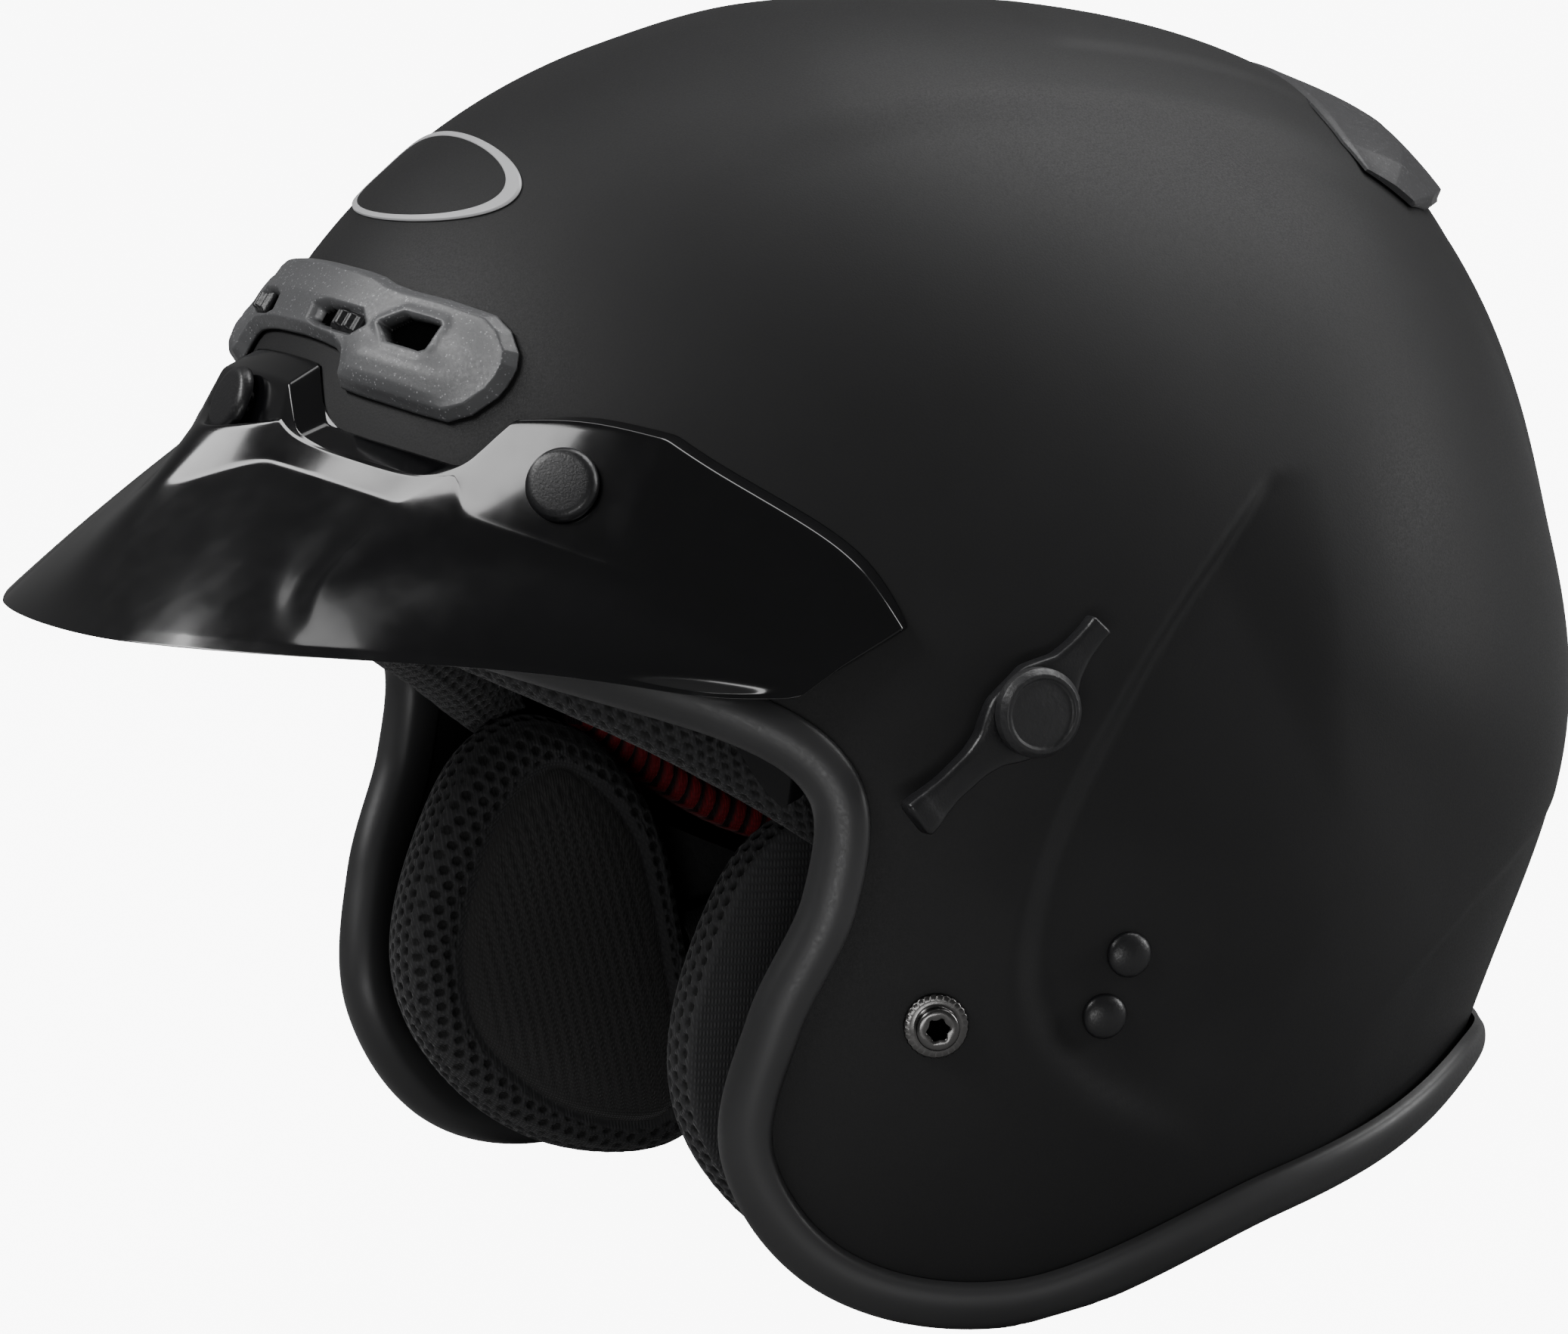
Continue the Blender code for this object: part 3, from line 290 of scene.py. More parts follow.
def sheet(outer, inner):
    """Closed slab between two grids of the same size."""
    outer, inner = np.asarray(outer, float), np.asarray(inner, float)
    rows, cols = outer.shape[:2]
    points = np.vstack([outer.reshape(-1, 3), inner.reshape(-1, 3)])
    half = rows * cols
    faces = []
    for i in range(rows - 1):
        for j in range(cols - 1):
            a = i * cols + j
            faces.append([a, a + 1, a + cols + 1, a + cols])
            faces.append([half + a, half + a + cols, half + a + cols + 1, half + a + 1])
    edge = [(0, j) for j in range(cols)] + [(i, cols - 1) for i in range(1, rows)]
    edge += [(rows - 1, j) for j in range(cols - 2, -1, -1)] + [(i, 0) for i in range(rows - 2, 0, -1)]
    for (i, j), (k, m) in zip(edge, edge[1:] + edge[:1]):
        a, b = i * cols + j, k * cols + m
        faces.append([a, b, half + b, half + a])
    return points, faces


def basis(out, towards=-AXIS_Z):
    """Three directions at right angles: out, the nearest to towards, and across both."""
    out = unit(out)
    down = unit(towards - out * (towards @ out))
    return out, down, np.cross(out, down)


def lathe(outline, at, out, count, ripple=None):
    """Body turned about out through at. ripple(angle, radius, height) adds to the radius."""
    out, down, across = basis(out, -AXIS_Z if abs(out[2]) < 0.9 else AXIS_Y)
    angle = np.linspace(0, 2 * math.pi, count, endpoint=False)
    spokes = np.cos(angle)[:, None] * down + np.sin(angle)[:, None] * across
    rings = []
    for r, h in outline:
        if r <= 0:
            rings.append(at + out * h)
            continue
        radius = r + (ripple(angle, r, h) if ripple else 0.0) + 0 * angle
        rings.append(at + out * h + spokes * radius[:, None])
    return stack(rings)


def rounded(outline, radius, steps=4):
    """A lathe or section outline with its inner corners rounded."""
    p = np.array(outline, float)
    out = [p[0]]
    for a, b, c in zip(p, p[1:], p[2:]):
        reach_in = min(radius, 0.45 * np.linalg.norm(b - a))
        reach_out = min(radius, 0.45 * np.linalg.norm(c - b))
        start = b + (a - b) / max(np.linalg.norm(a - b), 1e-9) * reach_in
        stop = b + (c - b) / max(np.linalg.norm(c - b), 1e-9) * reach_out
        for t in np.linspace(0, 1, steps):
            out.append((1 - t) ** 2 * start + 2 * t * (1 - t) * b + t * t * stop)
    out.append(p[-1])
    return [tuple(q) for q in out]


def link_object(name, data):
    """New object of the data in the scene."""
    made = bpy.data.objects.new(name, data)
    bpy.context.scene.collection.objects.link(made)
    return made


def build(name, points, faces, material, body="helmet", replaces=(), slot=None, lift=None, tag=None):
    """Makes a piece from shell-frame points, puts it on its body and hides the solids it replaces."""
    mesh = bpy.data.meshes.new(name)
    placed = stand(points)
    if lift is not None:
        placed = lift(placed)
    mesh.from_pydata(placed.tolist(), [], [[int(v) for v in face] for face in faces])
    work = bmesh.new()
    work.from_mesh(mesh)
    bmesh.ops.recalc_face_normals(work, faces=work.faces)
    work.to_mesh(mesh)
    work.free()
    if tag is not None:
        values = mesh.attributes.new("tag", "FLOAT", "POINT")
        values.data.foreach_set("value", np.asarray(tag, np.float32))
    mesh.shade_smooth()
    made = link_object(name, mesh)
    for each in material if isinstance(material, list) else [material]:
        mesh.materials.append(each)
    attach(made, body)
    if replaces:
        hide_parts(*replaces)
    return made


def sharpen(made, degrees=40.0):
    """Smooth shading with sharp edges kept above an angle."""
    mesh = made.data
    work = bmesh.new()
    work.from_mesh(mesh)
    limit = math.radians(degrees)
    for edge in work.edges:
        edge.smooth = len(edge.link_faces) != 2 or edge.calc_face_angle(0.0) < limit
    work.to_mesh(mesh)
    work.free()
    mesh.update()


# ---------------------------------------------------------------- surfaces

def surface(name, colour, rough, metal=0.0, grain=(900, 0.1, 0.0001), vary=0.12, rough_vary=0.06, coat=0.0,
            sheen=0.0, specular=0.5, specks=None, weave=None, tagged=None):
    """Procedural Principled surface: mottled colour and roughness, fine bump, and optional speckle or cloth.

    grain is scale, strength and distance of the bump. tagged is the colour where the mesh's tag is 1.
    """
    made = bpy.data.materials.new(name)
    made.use_nodes = True
    tree = made.node_tree
    shader = tree.nodes["Principled BSDF"]
    shader.inputs["Metallic"].default_value = metal
    shader.inputs["Specular IOR Level"].default_value = specular
    shader.inputs["Coat Weight"].default_value = coat
    shader.inputs["Coat Roughness"].default_value = 0.06
    shader.inputs["Sheen Weight"].default_value = sheen
    shader.inputs["Sheen Roughness"].default_value = 0.4
    shader.inputs["Sheen Tint"].default_value = (*[min(1.0, 0.3 + c) for c in colour], 1)

    def node(kind, **values):
        added = tree.nodes.new(kind)
        for key, value in values.items():
            if key in added.inputs:
                added.inputs[key].default_value = value
            else:
                setattr(added, key, value)
        return added

    def link(a, out, b, into):
        tree.links.new(a.outputs[out], b.inputs[into])

    def ramp(source, out, low, high, first, last):
        added = node("ShaderNodeMapRange")
        for key, value in zip(("From Min", "From Max", "To Min", "To Max"), (low, high, first, last)):
            added.inputs[key].default_value = value
        link(source, out, added, "Value")
        return added

    def mix(factor, out, first, last):
        added = node("ShaderNodeMix", data_type="RGBA")
        link(factor, out, added, 0)
        for socket, value in ((6, first), (7, last)):
            if isinstance(value, bpy.types.Node):
                tree.links.new(value.outputs[2], added.inputs[socket])
            else:
                added.inputs[socket].default_value = (*value, 1)
        return added

    place = node("ShaderNodeTexCoord")
    broad = node("ShaderNodeTexNoise", Scale=45.0, Detail=4.0)
    fine = node("ShaderNodeTexNoise", Scale=float(grain[0]), Detail=3.0)
    link(place, "Object", broad, "Vector")
    link(place, "Object", fine, "Vector")
    dark = [c * (1 - vary) for c in colour]
    light = [c * (1 + vary) for c in colour]
    shade = mix(ramp(broad, "Fac", 0.3, 0.7, 0, 1), "Result", dark, light)
    height = fine
    out = "Fac"
    if specks:
        scale, threshold, speck = specks
        cells = node("ShaderNodeTexVoronoi", Scale=float(scale))
        link(place, "Object", cells, "Vector")
        dots = ramp(cells, "Distance", threshold, threshold * 0.4, 0, 1)
        pick = node("ShaderNodeTexNoise", Scale=scale * 0.7, Detail=1.0)
        link(place, "Object", pick, "Vector")
        some = ramp(pick, "Fac", 0.5, 0.6, 0, 1)
        both = node("ShaderNodeMath", operation="MULTIPLY")
        link(dots, "Result", both, 0)
        link(some, "Result", both, 1)
        shade = mix(both, "Value", shade, speck)
    if weave:
        waves = []
        for turned in (0.0, math.pi / 2):
            mapped = node("ShaderNodeMapping")
            mapped.inputs["Rotation"].default_value = (0.3, 0.5, turned)
            link(place, "Object", mapped, "Vector")
            wave = node("ShaderNodeTexWave", Scale=float(weave[0]), Distortion=0.6, Detail=1.0)
            link(mapped, "Vector", wave, "Vector")
            waves.append(wave)
        crossed = node("ShaderNodeMath", operation="MULTIPLY")
        link(waves[0], "Fac", crossed, 0)
        link(waves[1], "Fac", crossed, 1)
        shade = mix(ramp(crossed, "Value", 0.0, 0.8, 0, 1), "Result", [c * (1 - weave[1]) for c in colour],
                    shade)
        height, out = crossed, "Value"
    if tagged:
        tag = node("ShaderNodeAttribute", attribute_name="tag")
        shade = mix(ramp(tag, "Fac", 0.15, 0.8, 0, 1), "Result", shade, tagged)
    tree.links.new(shade.outputs[2], shader.inputs["Base Color"])
    roughness = ramp(fine, "Fac", 0.3, 0.7, max(rough - rough_vary, 0.02), min(rough + rough_vary, 1))
    link(roughness, "Result", shader, "Roughness")
    bump = node("ShaderNodeBump", Strength=float(grain[1]), Distance=float(grain[2]))
    link(height, out, bump, "Height")
    link(bump, "Normal", shader, "Normal")
    made.diffuse_color = (*colour, 1)
    return made


MATTE = surface("matte_shell", (0.0150, 0.0150, 0.0155), 0.56, grain=(2600, 0.16, 0.00012), rough_vary=0.07,
                vary=0.07, specular=0.22)
RUBBER = surface("trim_rubber", (0.034, 0.034, 0.035), 0.42, grain=(1500, 0.12, 0.0001), vary=0.1)
GLOSS = surface("gloss_peak", (0.0025, 0.0025, 0.003), 0.15, grain=(160, 0.03, 0.0002), rough_vary=0.03,
                coat=0.2)
# The brow vent's tagged colour is painted shade: the floors of its openings are coloured near-black to stand
# for the shade inside them.
VENT = surface("speckled_grey", (0.082, 0.083, 0.086), 0.42, grain=(1400, 0.22, 0.00014), vary=0.05,
               specks=(1500, 0.34, (0.30, 0.30, 0.31)), tagged=(0.002, 0.002, 0.002))
# A darker copy of the vents' speckled grey: painted shade on the rear vent, which has the same finish as the
# brow vent.
VENT_SHADED = surface("speckled_grey_painted_shade", (0.040, 0.040, 0.042), 0.45, grain=(1400, 0.22, 0.00014), vary=0.05,
                    specks=(1500, 0.34, (0.12, 0.12, 0.125)), specular=0.3)
LEVER = surface("black_plastic", (0.010, 0.010, 0.011), 0.36, grain=(1900, 0.28, 0.00016), vary=0.1)
PEBBLE = surface("pebbled_plastic", (0.016, 0.016, 0.017), 0.46, grain=(900, 0.5, 0.0003), vary=0.15)
CHROME = surface("dark_chrome", (0.13, 0.127, 0.125), 0.24, 1.0, grain=(700, 0.08, 0.0001), vary=0.15)
STEEL = surface("steel", (0.52, 0.52, 0.53), 0.30, 1.0, grain=(900, 0.08, 0.0001), vary=0.08)
BADGE = surface("silver_badge", (0.50, 0.50, 0.51), 0.42, 0.1, grain=(900, 0.08, 0.0001), vary=0.06)
FOAM = surface("black_foam", (0.020, 0.020, 0.021), 0.86, grain=(520, 0.7, 0.0006), vary=0.2)
# The air mesh's tagged colour is painted shade: holes marked by the tag are coloured near-black to stand for
# the shade inside them.
MESH = surface("air_mesh", (0.042, 0.042, 0.044), 0.82, grain=(1500, 0.5, 0.0003), vary=0.15, sheen=0.35,
               weave=(420, 0.35), tagged=(0.004, 0.004, 0.004))
BRUSHED = surface("brushed_fabric", (0.042, 0.041, 0.041), 0.88, grain=(1700, 0.6, 0.0004), vary=0.22,
                  sheen=0.5, weave=(520, 0.3))
RED = surface("red_fabric", (0.36, 0.012, 0.02), 0.7, grain=(1500, 0.5, 0.0003), vary=0.18, sheen=0.4,
              weave=(480, 0.4), tagged=(0.012, 0.003, 0.004))
WEB = surface("strap_webbing", (0.018, 0.018, 0.019), 0.8, grain=(1200, 0.6, 0.0004), vary=0.15, sheen=0.3,
              weave=(560, 0.5))
LENS = surface("smoke_lens", (0.006, 0.006, 0.007), 0.07, grain=(60, 0.02, 0.0002), rough_vary=0.02,
               specular=0.25)
# Black matte without specular: painted shade on the floors of the brow vent's openings and inside the press
# studs' sockets.
HOLE_SHADE = surface("painted_hole_shade", (0.002, 0.002, 0.002), 0.95, grain=(900, 0.2, 0.0002), rough_vary=0.03,
               specular=0.0)
LENS.node_tree.nodes["Principled BSDF"].inputs["Transmission Weight"].default_value = 0.25


# ---------------------------------------------------------------- shell and trim

SWOOSH_FRONT = ((-20.2, 177.2), (-32.1, 148.6), (-39, 124.6), (-42.9, 103.4), (-42.4, 84.5), (-39.1, 70.1),
                (-31.2, 58.9), (-16.4, 52.8), (2.8, 51.5))
SWOOSH_REAR = ((-18.0, 176.5), (-29.6, 148.0), (-35.3, 124), (-38.0, 101.8), (-37.2, 85.4), (-33.7, 73.9),
               (-26.4, 65.2), (-14.6, 59.8), (3.5, 58.0))
SWOOSH_POLE = np.array([20.0, 112.0])


def polar(path):
    """Angles about the swoosh's pole, in order, and the path's radius at each."""
    p = catmull(np.array(path, float), 12, False) - SWOOSH_POLE
    angle = np.degrees(np.arctan2(p[:, 1], p[:, 0])) % 360
    order = np.argsort(angle)
    return angle[order], np.hypot(p[:, 0], p[:, 1])[order]


FRONT_CURVE = polar(SWOOSH_FRONT)
REAR_CURVE = polar(SWOOSH_REAR)


def relief(points):
    """Depth in millimetres by which the outer skin sinks or rises at each point."""
    p = np.asarray(points, float)
    flat = p[..., 1:] - SWOOSH_POLE
    angle = np.degrees(np.arctan2(flat[..., 1], flat[..., 0])) % 360
    away = np.hypot(flat[..., 0], flat[..., 1])
    front = np.interp(angle, *FRONT_CURVE)
    rear = np.interp(angle, *REAR_CURVE)
    share = np.clip((front - away) / (front - rear), 0, 1)
    step = 0.65 * share + 0.35 * share * share * (3 - 2 * share)
    ends = smoothstep(112, 136, angle) * smoothstep(264, 240, angle)
    fade = 1 - smoothstep(0.05, 0.92, (rear - away) / rear)
    lateral = smoothstep(50, 75, np.abs(p[..., 0]))
    down = -3.0 * step * ends * fade * lateral
    top = smoothstep(180, 215, p[..., 2])
    panel = 1.2 * smoothstep(64.5, 52.5, np.abs(p[..., 0])) * top * smoothstep(-125, -100, p[..., 1])
    panel += 0.7 * smoothstep(39, 33, np.abs(p[..., 0])) * top * smoothstep(-60, -48, p[..., 1])
    x, y, z = np.abs(p[..., 0]), p[..., 1], p[..., 2]
    crease = np.interp(y, (40, 48.2, 58.6, 73.3, 90), (90, 100.4, 113.4, 127.7, 140))
    low = -1.2 * smoothstep(4, -3, z - crease) * smoothstep(36, 52, y) * smoothstep(60, 85, x)
    return down + panel + low


def build_shell():
    """Outer shell with its relief, and the rubber bead round its edge."""
    depths = (1.5, 3, 4.5, 6, 8, 10.5, 13, 15.5, 18)
    (edge, far), inward = edge_rings(rim_half(), 640, (18,))
    calm = sum(np.roll(far, k, 0) for k in range(-9, 10)) / 19
    rings = [edge] + [snap(edge + (calm - edge) * depth / 18) for depth in depths]
    fine = rings + crown_rings(rings[-1], 150)
    outer = [ring + normal(ring) * relief(ring)[..., None] for ring in fine[:-1]]
    apex = fine[-1] + normal(fine[-1]) * relief(fine[-1])
    coarse = rings[::4] + crown_rings(rings[-1], 26)
    inner = [inset(ring, SHELL_WALL + 0.05) for ring in coarse]
    points, faces = stack([apex] + outer[::-1] + inner)
    build("shell_skin", points, faces, MATTE, replaces=("outer_shell",), slot="matte_shell")
    edge = rings[0]
    out = normal(edge)
    knots = ((0.35, -4.8), (2.5, -4.3), (3.8, -1.8), (3.9, 1.0), (2.9, 3.9), (0.4, 5.6), (-2.4, 5.6),
             (-5.2, 3.9), (-6.3, 1.0), (-6.2, -2.0), (-5.5, -4.3), (-3.9, -4.7))
    section = [tuple(q) for q in catmull(np.array(knots), 4, False)] + [(-3.85, 0.3), (0.35, 0.3)]
    sections = np.stack([edge + out * o - inward * d for o, d in section], 1)
    points, faces = loop_body(list(sections))

    def rest(placed):
        placed[:, 2] = np.maximum(placed[:, 2], 0.0)
        return placed

    made = build("edge_bead", points, faces, RUBBER, replaces=("edge_trim",), slot="trim_rubber", lift=rest)
    sharpen(made, 50)


# ---------------------------------------------------------------- peak

PEAK_TIP = np.array([57.6, -175.9, 99.1])
PEAK_WALL, PEAK_LIP_WALL = 2.6, 2.4


def peak_edge(degrees):
    """Point on the peak's front edge, from 0 on the centre line to 90 at its side."""
    angle = math.radians(degrees)
    x = 104.0 * math.sin(angle) ** (2 / 2.25)
    y = -97.0 - 106.2 * math.cos(angle) ** (2 / 2.25)
    return np.array([x, y, 102.6 + (74.5 - 102.6) * math.cos(angle) ** 1.5])


def stood_off(place, z, gap=0.5):
    """Point over the shell by a gap. A negative place is y on the side, and others are x on the front."""
    foot = front_point(place, z) if place >= 0 else side_point(place, z)
    return foot + normal(foot) * gap


def peak_column(degrees, bend, face, mids=None, lip=3.6):
    """Section of the peak: its edge and lip, two rows of brim, two of the bend and three of the face."""
    edge = peak_edge(degrees)
    over = np.array(bend[0]) - edge
    out = normal(edge)
    rows = [edge, edge + unit(over) * lip + out * 0.25 * (lip > 2.9)]
    rows += mids or [edge + over * t + out * 4.0 * t * (1 - t) for t in (0.36, 0.7)]
    return rows + list(bend) + list(face)


def facet_rows(degrees, first, second):
    """The two brim rows that run to the tip of the facet beside the ridge."""
    return [(PEAK_TIP + peak_edge(degrees)) / 2 + first, PEAK_TIP + second]


def peak_columns():
    """Left half of the peak's outer surface: sections from the centre line out to the side."""
    columns = []
    for degrees, *points, foot in (
            (0, (0, -192.9, 104.8), (0, -186.3, 120.6), (0, -178.6, 122.0), (0, -178.6, 134.4), (0, 140.0)),
            (8, (9.5, -186.0, 111.2), (9.5, -182.2, 123.4), (9.5, -178.4, 124.2), (9.5, -178.4, 134.3),
             (9.5, 140.0)),
            (14, (19.6, -178.9, 118.4), (19.8, -177.9, 126.4), (19.6, -177.7, 127.2), (17.8, -177.6, 134.0),
             (16.6, 139.6)),
            (18, (25.5, -177.3, 118.5), (26.2, -176.4, 123.4), (26.3, -176.2, 123.8), (26.4, -175.9, 124.3),
             (26.2, 128.6)),
            (29, (40.9, -171.7, 118.0), (43.4, -168.9, 123.4), (43.5, -168.6, 123.8), (43.5, -168.2, 124.3),
             (43.5, 128.4))):
        columns.append(peak_column(degrees, points[:2], points[2:] + [stood_off(*foot)]))
    for degrees, *points, foot, tip, lip in (
            (38, (53.4, -164.4, 118.0), (56.2, -161.9, 123.4), (56.4, -161.6, 123.8), (56.6, -161.2, 124.4),
             (56.8, 128.6), (39, (-3.4, -1.3, 0.0), (-3.6, -1.2, -0.2)), 3.1),
            (41, (55.9, -163.9, 117.6), (62.1, -157.2, 127.0), (62.3, -156.8, 128.0), (62.6, -156.0, 129.4),
             (62.2, 131.4), (41, (0.0, 0.0, 0.0), (-0.4, -0.3, 0.0)), 3.0),
            (46, (62.6, -165.0, 109.8), (67, -155.2, 119.8), (66.0, -154.8, 127.5), (65.9, -151.4, 140.2),
             (66.6, 142.6), (45, (0.0, 0.0, 0.0), (0.6, 0.1, 0.2)), 2.8)):
        columns.append(peak_column(degrees, points[:2], points[2:] + [stood_off(*foot)],
                                   facet_rows(*tip), lip))
    for degrees, root, middle, top, back, lip in (
            (54, (73.5, 119.8, 5.4), (73.2, 129, 5.4), (72.5, 143.9, 4.9), (72.4, 146.2), 2.6),
            (62, (84.0, 119.4, 5.4), (83.4, 129, 5.4), (82.4, 144.9, 4.8), (82.6, 147.3), 2.2),
            (69, (-119.5, 117.4, 5.6), (-119, 126, 5.4), (-118, 141.9, 4.6), (-117.4, 144.4), 2.0),
            (77, (-107.5, 113.6, 6.0), (-106, 121, 5.4), (-99.8, 138.0, 4.4), (-98.8, 140.6), 1.9),
            (84, (-98.4, 112.7, 6.4), (-96, 119, 5.4), (-89.8, 134.0, 4.2), (-88.4, 136.4), 1.8)):
        root = stood_off(*root)
        columns.append(peak_column(degrees, [root * 0.85 + peak_edge(degrees) * 0.15, root],
                                   [stood_off(*middle), stood_off(*top), stood_off(*back)], None, lip))
    low, middle, high = (stood_off(*place) for place in (
        (-94, 107.5, 8.2), (-89, 115.5, 6.6), (-80.7, 126, 4.0)))
    columns.append([low + (middle - low) * share for share in (0, 0.18, 0.4, 0.6, 0.85, 1)]
                   + [middle * 0.65 + high * 0.35, high, stood_off(-79.6, 127.4)])
    return np.array(columns)


def peak_underside(half):
    """The inner surface, a wall below the brim and close to the shell behind the face."""
    inner = half.copy()
    reach = unit(half[:, 2] - half[:, 0])
    for r in range(half.shape[1]):
        if r < 2:
            inner[:, r] = half[:, r] - normal(half[:, r]) * PEAK_LIP_WALL + reach * 0.2 * r
        elif r < 5:
            inner[:, r] = half[:, r] - normal(half[:, r]) * PEAK_WALL
        else:
            foot = snap(half[:, r])
            inner[:, r] = foot + normal(foot) * (0.55 if r < 8 else 0.45)
    inner[:, 8] = inner[:, 8] * 0.6 + inner[:, 7] * 0.4
    return inner


def build_peak():
    """The gloss peak: a cage of sections and rows, creased where it has edges and subdivided."""
    half = peak_columns()
    cols, rows = half.shape[:2]
    skins = (half, peak_underside(half))
    index = {}
    points = []

    def vertex(side, c, r, skin):
        key = (side if c else 1, c, r, skin)
        if key not in index:
            index[key] = len(points)
            p = skins[skin][c, r]
            points.append(p * np.array([side, 1, 1]) if c else p * np.array([0, 1, 1]))
        return index[key]

    faces = []
    for side in (1, -1):
        for skin in (0, 1):
            for c in range(cols - 1):
                for r in range(rows - 1):
                    faces.append([vertex(side, c, r, skin), vertex(side, c + 1, r, skin),
                                  vertex(side, c + 1, r + 1, skin), vertex(side, c, r + 1, skin)])
        for c in range(cols - 1):
            for r in (0, rows - 1):
                faces.append([vertex(side, c, r, 0), vertex(side, c + 1, r, 0), vertex(side, c + 1, r, 1),
                              vertex(side, c, r, 1)])
        for r in range(rows - 1):
            faces.append([vertex(side, cols - 1, r, 0), vertex(side, cols - 1, r + 1, 0),
                          vertex(side, cols - 1, r + 1, 1), vertex(side, cols - 1, r, 1)])
    made = build("peak_moulding", points, faces, GLOSS, replaces=("peak",), slot="gloss_peak")
    mesh = made.data
    sharp = {}

    def hold(c0, r0, c1, r1, amount, skin=0):
        """Creases the edge between two cage points on both sides."""
        for side in (1, -1):
            a, b = vertex(side, c0, r0, skin), vertex(side, c1, r1, skin)
            sharp[(min(a, b), max(a, b))] = amount

    for c in range(cols - 1):
        hold(c, 0, c + 1, 0, 0.9)
        hold(c, 0, c + 1, 0, 0.8, 1)
        hold(c, 1, c + 1, 1, 0.75)
        hold(c, 7, c + 1, 7, 0.85)
        hold(c, 8, c + 1, 8, 1.0)
        hold(c, 8, c + 1, 8, 1.0, 1)
        hold(c, 5, c + 1, 5, 0.9 if c < 8 else max(0.0, 0.9 - 0.3 * (c - 7)))
    for c in range(0, 6):
        hold(c, 4, c + 1, 4, 0.9)
        hold(c, 6, c + 1, 6, 0.7)
    for r in range(3, 5):
        hold(6, r, 6, r + 1, 0.95)
        hold(7, r, 7, r + 1, 0.95)
    for r in range(5, 8):
        hold(9, r, 9, r + 1, 0.7)
        hold(0, r, 0, r + 1, 0.95 if r == 4 else 0.0)
        hold(2, r, 2, r + 1, 0.95 if r > 3 else 0.0)
    for c in (2, 3, 5, 6, 7):
        hold(c, 7, c, 8, 0.95)
    for r in range(rows - 1):
        hold(cols - 1, r, cols - 1, r + 1, 0.8)
        hold(cols - 1, r, cols - 1, r + 1, 0.8, 1)
    crease = mesh.attributes.new("crease_edge", "FLOAT", "EDGE")
    for edge in mesh.edges:
        a, b = edge.vertices
        crease.data[edge.index].value = sharp.get((min(a, b), max(a, b)), 0.0)
    smoother = made.modifiers.new("subsurf", "SUBSURF")
    smoother.levels = smoother.render_levels = 4


def build_peak_caps():
    """Round caps of the three fasteners that hold the peak."""
    for word, at, gap in (("centre", front_point(0, 127.5), 4.8), ("left", front_point(SNAP_X, SNAP_Z), 4.9),
                          ("right", front_point(-SNAP_X, SNAP_Z), 4.9)):
        face = gap + 0.5
        outline = rounded(((0, 2.3), (3.3, 2.3), (3.3, face), (7.2, face), (7.2, face + 1.3),
                           (6.5, face + 2.3), (5.6, face + 2.6), (0, face + 2.75)), 0.45, 4)
        build("snap_cap_" + word, *lathe(outline, at, normal(at), 72), LEVER, replaces=("peak_cap_" + word,))


# ---------------------------------------------------------------- vents and badge

def distance_to(path, points):
    """Distance from each point to a closed polyline, and whether it lies inside it."""
    starts = np.asarray(path, float)
    ends = np.roll(starts, -1, 0)
    best = np.full(points.shape[:-1], 1e9)
    inside = np.zeros(points.shape[:-1], bool)
    for a, b in zip(starts, ends):
        d = b - a
        t = np.clip(((points - a) @ d) / (d @ d), 0, 1)
        best = np.minimum(best, np.linalg.norm(points - a - t[..., None] * d, axis=-1))
        crossing = (a[1] > points[..., 1]) != (b[1] > points[..., 1])
        with np.errstate(divide="ignore", invalid="ignore"):
            at = a[0] + (points[..., 1] - a[1]) / (b[1] - a[1] + 1e-12) * d[0]
        inside ^= crossing & (points[..., 0] < at)
    return best, inside


def signed_distance(path, points):
    """Distance to a closed polyline, positive inside it."""
    near, within = distance_to(path, points)
    return np.where(within, near, -near)


